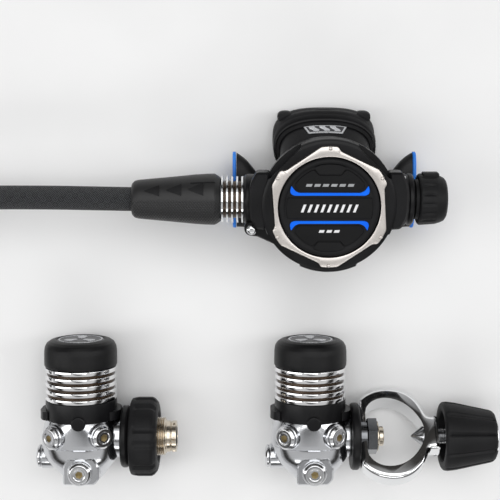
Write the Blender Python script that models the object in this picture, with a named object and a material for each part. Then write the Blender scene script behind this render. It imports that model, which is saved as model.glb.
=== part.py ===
"""Scuba regulator set: a second stage on its hose, a DIN first stage and a yoke first stage, lying on a table.

Sizes are in millimetres and become metres in the helpers. World axes: +X towards the adjusting knob,
+Y towards the mouthpiece and the caps, +Z up from the table.
"""
import math

import bmesh
import bpy
from mathutils import Matrix, Vector

MM = 0.001
GAP = 0.3
WELD = 0.005

# Second stage, in its own frame: x along the valve barrel, y deep into the case, z towards the mouthpiece.
STAGE_PLACE = (34.4, 54.5, 63.0)
STAGE_TILT = 9.0
BUTTON_R = 28.0
BUTTON_TRAVEL = 2.5
BUTTON_GAP = 0.5
RING_THICK = 2.2
RING_BORDER = 1.3
RING_STEP = 2.3
RING_LOBES = 6
COVER_R = 38.0
COVER_DEPTH = 13.0
COVER_WALL = 4.5
BUMPER_OUT = 6.4
CASE_INSET = 2.0
CASE_BACK = 40.0
CASE_WALL = 2.7
BARREL_TOP = 17.5
BARREL_R = 6.5
BARREL_BORE_R = 4.6
COLLAR_R = 14.5
COLLAR_OUT = 9.5
LUG_OUT = 5.0
NECK_HALF_WIDTH = 26.5
NECK_HALF_HEIGHT = 14.5
NECK_START = 37.0
NECK_START_RISE = 19.0
NECK_END = 50.0
NECK_END_RISE = 27.5
NECK_WALL = 2.5
BADGE_HALF_WIDTH = 12.5
BADGE_BACK = 45.4
PORT_R = 9.5
PORT_HEIGHT = -22.0
PORT_RIM = 2.5
FIN_R = 13.5
FIN_PITCH = 2.86
FIN_THICK = 1.15
FIN_COUNT = 5
KNOB_OUT = 4.5
KNOB_R = 14.8
KNOB_LENGTH = 16.0
KNOB_FLUTES = 12
WING_REACH = 52.0
WING_HALF_HEIGHT = 22.5
TEE_WALL = 1.8
TRIM_THICK = 2.0
MOUTH_HALF_WIDTH = 30.5
MOUTH_END = 65.6

# Hose, in world millimetres.
HOSE_R = 6.9
SLEEVE_R = 14.7
SLEEVE_TIP_R = 10.8
SLEEVE_LENGTH = 51.0
COIL_CENTRE = (-274.6, -8.0)
COIL_INNER_R = 59.0
COIL_OUTER_R = 86.0
HOSE_ROUTE = [
    (-36.6, 58.25, 39.3), (-54, 58.25, 39.3), (-75, 58.3, 39.2), (-97, 58.7, 39), (-120, 59.1, 38.7),
    (-142, 59.2, 38.2), (-162, 59.1, 37), (-180, 58.8, 34.6), (-197, 58.5, 31.2), (-214, 58.3, 27.4),
    (-230, 58.1, 24.2), (-246, 58, 22.2), (-260, 58, 21.4), (-274, 58, 21.2),
]

# First stages, in their own frame: x towards the inlet, y up the cap's axis, z away from the table.
DIN_PLACE = (-110.6, -110.5)
YOKE_PLACE = (26.4, -110.5)
AXIS_HEIGHT = 24.6
BODY_HEIGHT = 37.7
SHROUD_HEIGHT = 11.0
SHROUD_R = 21.2
HOUSING_HEIGHT = 19.3
HOUSING_R = 21.2
HOUSING_GROOVE_R = 19.6
HOUSING_RIBS = 5
CAP_HEIGHT = 16.0
CAP_R = 21.6
INLET_HEIGHT = 25.5
INLET_FACE = 24.0
INLET_BORE_R = 5.0
PLUG_R = 6.8
PLUG_HEAD = 2.6
PORT_ANGLE = 37.5
DIN_RING_R = 18.5
DIN_RING_LENGTH = 5.0
WHEEL_R = 23.5
WHEEL_LENGTH = 19.0
WHEEL_FLUTES = 18
DIN_THREAD_R = 11.4
DIN_THREAD_END = 50.5
DIN_NOSE_R = 9.3
DIN_NOSE_END = 57.0
SADDLE_R = 20.0
SADDLE_LENGTH = 5.0
YOKE_TURN = 42.0
YOKE_HALF_WIDTH = 29.5
YOKE_THICK = 13.0
YOKE_END = 77.0
YOKE_GAP_START = 33.5
YOKE_GAP_END = 68.0
SCREW_R = 4.4
SCREW_TIP = 60.5
SCREW_TRAVEL = 8.0
HAND_KNOB_R = 20.6
HAND_KNOB_TIP_R = 15.6
HAND_KNOB_LENGTH = 32.0
HAND_KNOB_RIBS = 10

ROUND = 24
SMALL_ROUND = 14

BLACK = ((0.012, 0.012, 0.014), 0.45, 0.0)
SOFT_BLACK = ((0.018, 0.018, 0.020), 0.75, 0.0)
STEEL = ((0.62, 0.60, 0.57), 0.30, 1.0)
CHROME = ((0.78, 0.79, 0.80), 0.10, 1.0)
SATIN = ((0.60, 0.61, 0.62), 0.25, 1.0)
NICKEL = ((0.70, 0.66, 0.58), 0.22, 1.0)
BRASS = ((0.60, 0.44, 0.20), 0.30, 1.0)
BLUE = ((0.005, 0.14, 0.85), 0.40, 0.0)
SILVER = ((0.70, 0.71, 0.73), 0.30, 0.6)


def clear_scene():
    for obj in list(bpy.data.objects):
        bpy.data.objects.remove(obj)


def group_frame(name, matrix):
    """An empty that carries one assembly; its pieces are modelled in its frame."""
    empty = bpy.data.objects.new(name, None)
    empty.matrix_world = matrix
    bpy.context.scene.collection.objects.link(empty)
    return empty


def aim(point, direction, side=None):
    """A matrix at a point in millimetres whose +Z looks along direction and whose +X leans to side."""
    forward = Vector(direction).normalized()
    across = Vector(side) if side else forward.orthogonal()
    across = (across - forward * across.dot(forward)).normalized()
    matrix = Matrix((across, forward.cross(across), forward)).transposed().to_4x4()
    matrix.translation = Vector(point) * MM
    return matrix


def finish_of(name, looks):
    colour, rough, metal = looks
    material = bpy.data.materials.new(name)
    material.use_nodes = True
    shader = material.node_tree.nodes["Principled BSDF"]
    shader.inputs["Base Color"].default_value = (*colour, 1.0)
    shader.inputs["Roughness"].default_value = rough
    shader.inputs["Metallic"].default_value = metal
    return material


def add(name, bm, looks, group=None, place=None, cutter=False):
    """Turn a bmesh in millimetres into an object, in its group's frame."""
    bmesh.ops.scale(bm, vec=(MM, MM, MM), verts=bm.verts)
    bmesh.ops.recalc_face_normals(bm, faces=bm.faces)
    mesh = bpy.data.meshes.new(name)
    bm.to_mesh(mesh)
    bm.free()
    mesh.shade_smooth()
    mesh.set_sharp_from_angle(angle=math.radians(32))
    obj = bpy.data.objects.new(name, mesh)
    bpy.context.scene.collection.objects.link(obj)
    obj.parent = group
    obj.matrix_basis = place or Matrix.Identity(4)
    if looks:
        mesh.materials.append(finish_of(name, looks))
    if cutter:
        obj.hide_render = True
        obj.display_type = "WIRE"
    return obj


def combine(target, tool, operation):
    """Cut a tool from a piece, or join it on, and drop the tool."""
    step = target.modifiers.new("combine", "BOOLEAN")
    step.operation = operation
    step.solver = "EXACT"
    step.object = tool
    bpy.context.view_layer.update()
    evaluated = target.evaluated_get(bpy.context.evaluated_depsgraph_get())
    result = bpy.data.meshes.new_from_object(evaluated)
    target.modifiers.clear()
    bm = bmesh.new()
    bm.from_mesh(result)
    bmesh.ops.remove_doubles(bm, verts=bm.verts, dist=WELD * MM)
    bmesh.ops.dissolve_degenerate(bm, edges=bm.edges, dist=WELD * MM)
    bm.to_mesh(result)
    bm.free()
    target.data = result
    bpy.data.objects.remove(tool)
    result.shade_smooth()
    result.set_sharp_from_angle(angle=math.radians(32))


def cut(target, bm, place=None):
    combine(target, add("cutter", bm, None, target.parent, place, True), "DIFFERENCE")


def join(target, bm, place=None):
    combine(target, add("addition", bm, None, target.parent, place, True), "UNION")


def turned(profile, sides=ROUND):
    """A solid of revolution about +Z; profile is a list of (radius, height)."""
    bm = bmesh.new()
    rings = []
    for radius, height in profile:
        if radius == 0:
            rings.append([bm.verts.new((0, 0, height))])
            continue
        rings.append([bm.verts.new((radius * math.cos(2 * math.pi * k / sides),
                                    radius * math.sin(2 * math.pi * k / sides), height))
                      for k in range(sides)])
    closed = profile[0][0] != 0
    for index in range(len(rings) if closed else len(rings) - 1):
        low = rings[index]
        high = rings[(index + 1) % len(rings)]
        for k in range(sides):
            following = (k + 1) % sides
            corners = [low[k % len(low)], low[following % len(low)],
                       high[following % len(high)], high[k % len(high)]]
            corners = list(dict.fromkeys(corners))
            if len(corners) > 2:
                bm.faces.new(corners)
    return bm


def prism(outline, start, end):
    """A straight extrusion of an (x, y) outline from one height to another."""
    bm = bmesh.new()
    bottom = [bm.verts.new((x, y, start)) for x, y in outline]
    top = [bm.verts.new((x, y, end)) for x, y in outline]
    bm.faces.new(bottom)
    bm.faces.new(top)
    for k in range(len(outline)):
        following = (k + 1) % len(outline)
        bm.faces.new((bottom[k], bottom[following], top[following], top[k]))
    return bm


def block(low, high, bevel=0.0):
    """A box between two corners, with its edges rounded by bevel."""
    bm = bmesh.new()
    bmesh.ops.create_cube(bm, size=1.0)
    size = Vector(high) - Vector(low)
    bmesh.ops.scale(bm, vec=size, verts=bm.verts)
    bmesh.ops.translate(bm, vec=(Vector(high) + Vector(low)) / 2, verts=bm.verts)
    if bevel:
        bmesh.ops.bevel(bm, geom=bm.edges, offset=bevel, segments=2, profile=0.5, affect="EDGES")
    return bm


def oval(half_width, half_height, power, count):
    """Points of a rounded oval; power 2 is an ellipse and more is squarer."""
    points = []
    for k in range(count):
        angle = 2 * math.pi * k / count
        c = math.cos(angle)
        s = math.sin(angle)
        points.append((math.copysign(abs(c) ** (2 / power), c) * half_width,
                       math.copysign(abs(s) ** (2 / power), s) * half_height))
    return points


def lofted(outer, inner=None, count=20):
    """A body through sections (height, x, y, half width, half height, power), open inside if inner is given."""
    bm = bmesh.new()

    def ring(section):
        height, x, y, half_width, half_height, power = section
        return [bm.verts.new((x + a, y + b, height))
                for a, b in oval(half_width, half_height, power, count)]

    rings = [ring(section) for section in outer]
    if inner:
        rings += [ring(section) for section in reversed(inner)]
    for index in range(len(rings) if inner else len(rings) - 1):
        low = rings[index]
        high = rings[(index + 1) % len(rings)]
        for k in range(count):
            following = (k + 1) % count
            bm.faces.new((low[k], low[following], high[following], high[k]))
    if not inner:
        bm.faces.new(rings[0])
        bm.faces.new(rings[-1])
    return bm


def spring(radius, wire, start, end, turns, steps=9, sides=4):
    """A round-wire coil about +Z with flat-cut ends."""
    bm = bmesh.new()
    rings = []
    count = int(turns * steps)
    for k in range(count + 1):
        angle = 2 * math.pi * k / steps
        height = start + wire + (end - start - 2 * wire) * k / count
        out = Vector((math.cos(angle), math.sin(angle), 0))
        centre = out * radius + Vector((0, 0, height))
        rings.append([bm.verts.new(centre + wire * (out * math.cos(2 * math.pi * j / sides)
                                                    + Vector((0, 0, math.sin(2 * math.pi * j / sides)))))
                      for j in range(sides)])
    for low, high in zip(rings, rings[1:]):
        for j in range(sides):
            following = (j + 1) % sides
            bm.faces.new((low[j], low[following], high[following], high[j]))
    bm.faces.new(rings[0])
    bm.faces.new(rings[-1])
    return bm


def fluted(radius, depth, flutes, steps=4):
    """An outline with shallow scallops round it."""
    points = []
    for k in range(flutes * steps):
        angle = 2 * math.pi * k / (flutes * steps)
        points.append(((radius - (depth if k % steps == 0 else 0)) * math.cos(angle),
                       (radius - (depth if k % steps == 0 else 0)) * math.sin(angle)))
    return points


# ---------------------------------------------------------------- second stage

BARREL_DEPTH = BARREL_TOP + BARREL_R
ALONG_DEPTH = aim((0, 0, 0), (0, 1, 0), (-1, 0, 0))
ALONG_BARREL = aim((0, BARREL_DEPTH, 0), (1, 0, 0), (0, 1, 0))
ALONG_X = aim((0, 0, 0), (1, 0, 0), (0, 1, 0))

COVER_FRONT = RING_THICK + GAP
RING_LOBE_R = COVER_R - RING_BORDER
RING_STEP_R = RING_LOBE_R - RING_STEP
BUMPER_REACH = COVER_R + BUMPER_OUT
CASE_R = COVER_R - CASE_INSET
COLLAR_END = COVER_R + COLLAR_OUT
LUG_X = COVER_R + LUG_OUT
BUTTON_BORE_R = BUTTON_R + BUTTON_GAP
COVER_ROOM_R = COVER_R - COVER_WALL
CASE_FRONT = COVER_DEPTH + GAP
CASE_ROOM_R = CASE_R - 2 * CASE_WALL
BUTTON_SKIRT_END = 6.4
GRILLE_FRONT = BUTTON_SKIRT_END + BUTTON_TRAVEL + GAP
GRILLE_THICK = 1.2
POST_R = 3.0
VANE_CLEARANCE = 0.9
VANE_START = -24.5
VANE_LENGTH = 11.0
LUG_RISE = -15.0
LUG_R = 4.3
PLATE_FRONT = 12.0
PLATE_THICK = 0.7
PLATE_R = 13.0
LEVER_PIVOT = (6.0, BARREL_DEPTH - BARREL_R - 0.9)
LEVER_TIP = (-11.0, PLATE_FRONT + PLATE_THICK + GAP)
KNOB_START = COLLAR_END + KNOB_OUT
BARREL_START = -COLLAR_END + GAP
BARREL_STOP = 34.0
FIN_START = -(COLLAR_END + GAP)
EXCHANGER_END = FIN_START - FIN_PITCH * (FIN_COUNT - 1) - FIN_THICK
SLEEVE_END = EXCHANGER_END - GAP
TEE_PATH = [
    (0, 50.0, -26.0, 9.5, 10.0), (15, 50.0, -25.0, 9.5, 10.5), (28, 50.2, -18.5, 9.0, 13.0),
    (38, 50.6, -9.0, 8.4, 17.0), (46, 51.0, -2.5, 7.8, 20.5), (WING_REACH, 51.3, 0.0, 7.6, WING_HALF_HEIGHT),
]


def stage_frame():
    tilt = Matrix.Rotation(math.radians(STAGE_TILT - 90), 4, "X")
    return group_frame("second_stage_frame", Matrix.Translation(Vector(STAGE_PLACE) * MM) @ tilt)


def ring_outline():
    """Six lobes; after each the edge steps in and runs straight out to the next."""
    points = []
    for lobe in range(RING_LOBES):
        centre = 90 - 360 / RING_LOBES * lobe
        for offset, radius in ((-8.5, RING_LOBE_R), (-1, RING_LOBE_R), (7, RING_LOBE_R), (11, RING_STEP_R)):
            angle = math.radians(centre - offset)
            points.append((-radius * math.cos(angle), radius * math.sin(angle)))
    return points


def face_and_button(group):
    ring = add("face_ring", prism(ring_outline(), 0, RING_THICK), STEEL, group, ALONG_DEPTH)
    cut(ring, turned([(0, -1), (BUTTON_BORE_R, -1), (BUTTON_BORE_R, RING_THICK + 1), (0, RING_THICK + 1)]),
        ALONG_DEPTH)
    button = [(0, -1.0), (14, -0.8), (24, -0.2), (BUTTON_R - 0.6, 0.3), (BUTTON_R, 0.9),
              (BUTTON_R, 5.5), (BUTTON_BORE_R + 1.5, 5.5), (BUTTON_BORE_R + 1.5, BUTTON_SKIRT_END),
              (BUTTON_R - 2.5, BUTTON_SKIRT_END), (BUTTON_R - 2.5, 2.4),
              (POST_R, 2.4), (POST_R, PLATE_FRONT - GAP), (0, PLATE_FRONT - GAP)]
    add("purge_button", turned(button), SOFT_BLACK, group, ALONG_DEPTH)
    for name, side in (("strip_upper", 1), ("strip_lower", -1)):
        strip_block = block((-20, 7.6 * side - 1.1, -1.4), (20, 7.6 * side + 1.1, -1.1), 0.0)
        add(name, strip_block, BLUE, group, ALONG_DEPTH)
    add("purge_spring", spring(6.0, 0.45, 2.4 + GAP, GRILLE_FRONT - GAP, 4), CHROME, group, ALONG_DEPTH)


def cover(group):
    grille_back = GRILLE_FRONT + GRILLE_THICK
    room = COVER_ROOM_R
    profile = [(BUTTON_BORE_R, COVER_FRONT), (COVER_R - 1.4, COVER_FRONT), (COVER_R, COVER_FRONT + 1.4),
               (COVER_R, COVER_DEPTH), (room, COVER_DEPTH), (room, grille_back), (POST_R + 0.8, grille_back),
               (POST_R + 0.8, GRILLE_FRONT), (room, GRILLE_FRONT), (room, 5.2), (BUTTON_BORE_R, 5.2)]
    piece = add("front_cover", turned(profile), BLACK, group, ALONG_DEPTH)
    for side in (-1, 1):
        outline = [(side * (COVER_R - 3), -12.5), (side * (BUMPER_REACH - 3), -12.5), (side * BUMPER_REACH, -6),
                   (side * BUMPER_REACH, 12), (side * (BUMPER_REACH - 3), 18.7), (side * (COVER_R - 5), 18.7)]
        join(piece, prism(outline, 3.6, COVER_DEPTH), ALONG_DEPTH)
    for quarter in range(4):
        turn = Matrix.Rotation(math.radians(45 + 90 * quarter), 4, "Z")
        cut(piece, block((COVER_R - 2.2, -10, COVER_FRONT - 1), (COVER_R + 3, 10, COVER_DEPTH - 3)),
            ALONG_DEPTH @ turn)
    for hole in range(6):
        angle = math.radians(60 * hole)
        centre = aim((15 * math.cos(angle), 0, 15 * math.sin(angle)), (0, 1, 0))
        cut(piece, turned([(0, GRILLE_FRONT - 1), (4.5, GRILLE_FRONT - 1), (4.5, grille_back + 1),
                           (0, grille_back + 1)], 8), centre)
    pin = [(0, 9.4), (2.2, 9.6), (POST_R, 10.4), (POST_R, COVER_DEPTH), (0, COVER_DEPTH)]
    add("cover_lock_pin", turned(pin, SMALL_ROUND), CHROME, group, aim((-LUG_X, 0, LUG_RISE), (0, 1, 0)))


def neck_sections(skin):
    """The neck's two sections, grown by skin all round."""
    return [(NECK_START, 0, NECK_START_RISE, NECK_HALF_WIDTH + skin, NECK_HALF_HEIGHT - 0.5 + skin, 2.4),
            (NECK_END, 0, NECK_END_RISE, NECK_HALF_WIDTH + skin, NECK_HALF_HEIGHT + skin, 2.4)]


def badge(group):
    piece = add("top_badge", lofted(neck_sections(GAP + 0.7), neck_sections(GAP)), SILVER, group, ALONG_DEPTH)
    window = block((-BADGE_HALF_WIDTH, CASE_BACK + GAP, NECK_END_RISE), (BADGE_HALF_WIDTH, BADGE_BACK, COVER_R + 22))
    combine(piece, add("cutter", window, None, group, None, True), "INTERSECT")


def case_body(group):
    outer = [(0, CASE_FRONT), (CASE_R, CASE_FRONT), (CASE_R, 30), (CASE_R - 2.5, 37), (28, CASE_BACK),
             (0, CASE_BACK)]
    piece = add("case", turned(outer), BLACK, group, ALONG_DEPTH)
    join(piece, turned([(0, -COLLAR_END), (COLLAR_R, -COLLAR_END), (COLLAR_R, -28), (0, -28)]), ALONG_BARREL)
    join(piece, turned([(0, 28), (COLLAR_R + 0.5, 28), (COLLAR_R + 0.5, COLLAR_END + 1.5), (0, COLLAR_END + 1.5)]),
         ALONG_BARREL)
    join(piece, lofted([(30, 0, 15, NECK_HALF_WIDTH - 1, NECK_HALF_HEIGHT - 2, 2.4)] + neck_sections(0)),
         ALONG_DEPTH)
    join(piece, turned([(0, 34), (PORT_R + PORT_RIM, 34), (PORT_R + PORT_RIM, CASE_BACK + 1), (0, CASE_BACK + 1)],
                       SMALL_ROUND), aim((0, 0, PORT_HEIGHT), (0, 1, 0)))
    lug = [(24, LUG_RISE - 12), (24, LUG_RISE + 10), (LUG_X - 3, LUG_RISE + 6)]
    lug += [(LUG_X + LUG_R * math.sin(math.radians(turn)), LUG_RISE + LUG_R * math.cos(math.radians(turn)))
            for turn in range(0, 181, 45)]
    lug.append((LUG_X - 3, LUG_RISE - LUG_R))
    join(piece, prism(lug, CASE_FRONT + 0.2, BARREL_DEPTH), ALONG_DEPTH)
    margin = COVER_R + 2
    cut(piece, block((-BUMPER_REACH - GAP, -1, -margin), (BUMPER_REACH + GAP, CASE_FRONT - 0.1, margin)))
    back = CASE_BACK - CASE_WALL
    cut(piece, turned([(0, CASE_FRONT - 1), (CASE_ROOM_R, CASE_FRONT - 1), (CASE_ROOM_R, 32),
                       (CASE_ROOM_R - 4, back), (0, back)]), ALONG_DEPTH)
    bore = BARREL_R + GAP
    cut(piece, turned([(0, -COLLAR_END - 1), (bore, -COLLAR_END - 1), (bore, COLLAR_END + 3),
                       (0, COLLAR_END + 3)], SMALL_ROUND), ALONG_BARREL)
    width = NECK_HALF_WIDTH - NECK_WALL
    height = NECK_HALF_HEIGHT - NECK_WALL
    passage = [(33, 0, 17, width - 1, height - 2, 2.4), (NECK_START, 0, NECK_START_RISE, width, height - 0.5, 2.4),
               (NECK_END + 1, 0, NECK_END_RISE + 0.65, width, height, 2.4)]
    cut(piece, lofted(passage), ALONG_DEPTH)
    cut(piece, turned([(0, 30), (PORT_R, 30), (PORT_R, CASE_BACK + 2), (0, CASE_BACK + 2)], SMALL_ROUND),
        aim((0, 0, PORT_HEIGHT), (0, 1, 0)))
    spoke = PORT_R + 0.8
    join(piece, block((-spoke, 38.0, PORT_HEIGHT - 1.2), (spoke, 40.0, PORT_HEIGHT + 1.2)))
    cut(piece, turned([(0, 30), (1.1, 30), (1.1, CASE_BACK + 2), (0, CASE_BACK + 2)], 12),
        aim((0, 0, PORT_HEIGHT), (0, 1, 0)))
    seat = CASE_BACK + 1 + GAP
    valve = [(0, 37), (0.8, 37), (0.8, seat), (PORT_R + 1.2, seat), (PORT_R + 1.2, seat + 0.5), (0, seat + 1.2)]
    add("exhaust_valve", turned(valve, SMALL_ROUND), SOFT_BLACK, group, aim((0, 0, PORT_HEIGHT), (0, 1, 0)))


def breathing_parts(group):
    add("diaphragm", turned([(PLATE_R + GAP, PLATE_FRONT), (22, PLATE_FRONT), (24, PLATE_FRONT - 0.9),
                             (26, PLATE_FRONT), (COVER_ROOM_R - GAP, PLATE_FRONT),
                             (COVER_ROOM_R - GAP, PLATE_FRONT + 0.7), (26.3, PLATE_FRONT + 0.7),
                             (24, PLATE_FRONT - 0.2), (21.7, PLATE_FRONT + 0.7), (PLATE_R + GAP, PLATE_FRONT + 0.7)]),
        SOFT_BLACK, group, ALONG_DEPTH)
    add("diaphragm_plate", turned([(0, PLATE_FRONT), (PLATE_R, PLATE_FRONT), (PLATE_R, PLATE_FRONT + PLATE_THICK),
                                   (0, PLATE_FRONT + PLATE_THICK)]), CHROME, group, ALONG_DEPTH)
    tube = [(BARREL_BORE_R, BARREL_START), (BARREL_R, BARREL_START), (BARREL_R, BARREL_STOP),
            (BARREL_BORE_R, BARREL_STOP)]
    barrel = add("valve_barrel", turned(tube, 20), CHROME, group, ALONG_BARREL)
    cut(barrel, block((2.5, BARREL_DEPTH - BARREL_R - 1, -2.2), (9.8, BARREL_DEPTH - 3, 2.2)))
    cut(barrel, turned([(0, 26), (2.8, 26), (2.8, 34), (0, 34)], 12), aim((-18, 0, 0), (0, 1, 0)))
    fit = BARREL_BORE_R - GAP
    add("orifice", turned([(1.6, BARREL_START + 1), (fit, BARREL_START + 1), (fit, -32), (2.2, -30.8),
                           (1.6, -30.8)], 16), BRASS, group, ALONG_BARREL)
    add("poppet", turned([(0, -30.5), (fit, -30.5), (fit, -27), (1.8, -26), (1.8, 7.3), (fit, 7.3), (fit, 9.0),
                          (0, 9.0)], 16), SILVER, group, ALONG_BARREL)
    add("poppet_spring", spring(3.4, 0.4, 9.0 + 2 * GAP, 20.0, 5), CHROME, group, ALONG_BARREL)
    pivot = Vector(LEVER_PIVOT)
    tip = Vector(LEVER_TIP)
    arm = [(tip.x - 0.8, tip.y + 0.4), (tip.x, tip.y), (tip.x + 0.8, tip.y + 0.4), (pivot.x + 0.8, pivot.y - 0.6),
           (pivot.x + 0.8, pivot.y + 4.2), (pivot.x - 0.8, pivot.y + 4.2), (pivot.x - 0.8, pivot.y + 0.4),
           (tip.x - 0.4, tip.y + 1.2)]
    local = [(x - pivot.x, y - pivot.y) for x, y in arm]
    add("demand_lever", prism(local, -1.6, 1.6), CHROME, group,
        Matrix.Translation(Vector((pivot.x, pivot.y, 0)) * MM))
    sleeve = [(BARREL_R + GAP, VANE_START), (BARREL_R + 1.5, VANE_START), (BARREL_R + 1.5, VANE_START + 3),
              (BARREL_R + GAP, VANE_START + 3)]
    vane = add("venturi_vane", turned(sleeve, 20), SILVER, group, ALONG_BARREL)
    blade_reach = CASE_BACK - CASE_WALL - VANE_CLEARANCE - BARREL_DEPTH
    join(vane, block((BARREL_R + 0.8, -1.0, VANE_START + 0.5), (blade_reach, 1.0, VANE_START + VANE_LENGTH)),
         ALONG_BARREL)


def knob_side(group):
    spindle = [(0, 20.3), (BARREL_BORE_R - GAP, 20.3), (BARREL_BORE_R - GAP, KNOB_START + 6), (0, KNOB_START + 6)]
    add("knob_spindle", turned(spindle, 20), CHROME, group, ALONG_BARREL)
    knob_end = KNOB_START + KNOB_LENGTH
    profile = [(0, KNOB_START - 2), (11.5, KNOB_START - 2), (11.5, KNOB_START), (KNOB_R - 0.8, KNOB_START),
               (KNOB_R, KNOB_START + 1), (KNOB_R - 0.6, KNOB_START + 9), (KNOB_R - 2.2, knob_end - 1.4),
               (KNOB_R - 4, knob_end), (0, knob_end)]
    knob = add("adjust_knob", turned(profile), SOFT_BLACK, group, ALONG_BARREL)
    socket = BARREL_BORE_R
    cut(knob, turned([(0, KNOB_START - 3), (socket, KNOB_START - 3), (socket, KNOB_START + 6 + GAP),
                      (0, KNOB_START + 6 + GAP)], 20), ALONG_BARREL)
    tab = block((-3.5, KNOB_R - 3, KNOB_START + 2), (3.5, KNOB_R + 0.9, knob_end - 4), 0.6)
    join(knob, tab, ALONG_BARREL)


def hose_side(group):
    profile = [(3.0, EXCHANGER_END)]
    for fin in range(FIN_COUNT - 1, -1, -1):
        right = FIN_START - FIN_PITCH * fin
        left = right - FIN_THICK
        profile += [(FIN_R, left), (FIN_R, right)]
        if fin:
            profile += [(10.0, right), (10.0, right + FIN_PITCH - FIN_THICK)]
    profile.append((3.0, FIN_START))
    add("heat_exchanger", turned(profile, 20), CHROME, group, ALONG_BARREL)
    nut_start = SLEEVE_END - 10
    hexagon = [(9.2 * math.cos(math.pi / 3 * k), 9.2 * math.sin(math.pi / 3 * k)) for k in range(6)]
    nut = add("hose_nut", prism(hexagon, nut_start, SLEEVE_END), CHROME, group, ALONG_BARREL)
    cut(nut, turned([(0, nut_start - 1), (3.0, nut_start - 1), (3.0, SLEEVE_END + 1), (0, SLEEVE_END + 1)], 16),
        ALONG_BARREL)
    tip = SLEEVE_END - SLEEVE_LENGTH
    bore = HOSE_R + 0.6
    sleeve = [(bore, tip), (SLEEVE_TIP_R - 1.6, tip), (SLEEVE_TIP_R, tip + 2), (SLEEVE_R - 0.6, SLEEVE_END - 18),
              (SLEEVE_R, SLEEVE_END - 6), (SLEEVE_R - 2.6, SLEEVE_END), (9.2 + 2 * GAP, SLEEVE_END),
              (9.2 + 2 * GAP, nut_start - 1), (bore, nut_start - 4)]
    add("hose_sleeve", turned(sleeve), SOFT_BLACK, group, ALONG_BARREL)


def mouth_side(group):
    both = [(-x, y, z, depth, height) for x, y, z, depth, height in reversed(TEE_PATH[1:])] + TEE_PATH
    outer = [(x, y, z, depth, height, 2.3) for x, y, z, depth, height in both]
    inner = [(x, y, z, depth - TEE_WALL, height - TEE_WALL, 2.3) for x, y, z, depth, height in both]
    tee = add("exhaust_tee", lofted(outer, inner), SOFT_BLACK, group, ALONG_X)
    hole = PORT_R + PORT_RIM + 0.5
    cut(tee, turned([(0, 38), (hole, 38), (hole, 46), (0, 46)], SMALL_ROUND),
        aim((0, 0, PORT_HEIGHT), (0, 1, 0)))
    reach, deep, high, half_depth, half_height = TEE_PATH[-1]
    for name, side in (("tee_trim_left", -1), ("tee_trim_right", 1)):
        near = side * (reach + GAP)
        far = side * (reach + GAP + TRIM_THICK)
        rim = [(near, deep, high, half_depth + 0.3, half_height + 0.6, 2.3),
               (far, deep, high, half_depth + 0.3, half_height + 0.6, 2.3)]
        hollow = [(near, deep, high, half_depth - TEE_WALL, half_height - TEE_WALL, 2.3),
                  (far, deep, high, half_depth - TEE_WALL, half_height - TEE_WALL, 2.3)]
        add(name, lofted(rim, hollow), BLUE, group, ALONG_X)
    room_w = NECK_HALF_WIDTH + GAP
    room_h = NECK_HALF_HEIGHT + GAP
    slope = (NECK_END_RISE - NECK_START_RISE) / (NECK_END - NECK_START)
    collar = 46.0
    collar_rise = NECK_START_RISE + slope * (collar - NECK_START)
    flange_rise = NECK_END_RISE + 2.0
    outer = [(collar, 0, collar_rise, room_w + 1.8, room_h + 1.6, 2.4),
             (53, 0, collar_rise + slope * 7, room_w + 2.4, room_h + 1.8, 2.4),
             (57, 0, flange_rise - 0.5, MOUTH_HALF_WIDTH, 18.4, 2.6),
             (62, 0, flange_rise, MOUTH_HALF_WIDTH, 18.6, 2.6),
             (MOUTH_END, 0, flange_rise, MOUTH_HALF_WIDTH - 1.0, 17.6, 2.6)]
    inner = [(collar, 0, collar_rise, room_w, room_h, 2.4),
             (NECK_END + GAP, 0, NECK_END_RISE + 0.2, room_w, room_h, 2.4),
             (NECK_END + 1.5, 0, NECK_END_RISE + 0.5, 22, 10.5, 2.4), (MOUTH_END, 0, flange_rise, 20, 9.5, 2.4)]
    add("mouthpiece", lofted(outer, inner), SOFT_BLACK, group, ALONG_DEPTH)
    strap = []
    seat = []
    for height in (collar + 1, collar + 5):
        rise = collar_rise + slope * (height - collar)
        widen = 0.6 * (height - collar) / 7
        strap.append((height, 0, rise, room_w + widen + 3.2, room_h + 3.0, 2.4))
        seat.append((height, 0, rise, room_w + widen + 2.2, room_h + 2.15, 2.4))
    add("mouthpiece_strap", lofted(strap, seat), BLACK, group, ALONG_DEPTH)


# ---------------------------------------------------------------- hose

def curve_through(points, step):
    """Evenly spaced points on a smooth curve (Catmull-Rom) through the chosen points."""
    knots = [Vector(p) for p in points]
    knots = [knots[0] * 2 - knots[1]] + knots + [knots[-1] * 2 - knots[-2]]
    dense = []
    for a, b, c, d in zip(knots, knots[1:], knots[2:], knots[3:]):
        for k in range(12):
            t = k / 12
            dense.append(0.5 * (2 * b + (c - a) * t + (2 * a - 5 * b + 4 * c - d) * t * t
                                + (3 * b - a - 3 * c + d) * t ** 3))
    dense.append(knots[-2])
    even = [dense[0]]
    walked = 0.0
    for previous, point in zip(dense, dense[1:]):
        walked += (point - previous).length
        if walked >= step:
            even.append(point)
            walked = 0.0
    even[-1] = dense[-1]
    return even


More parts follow.
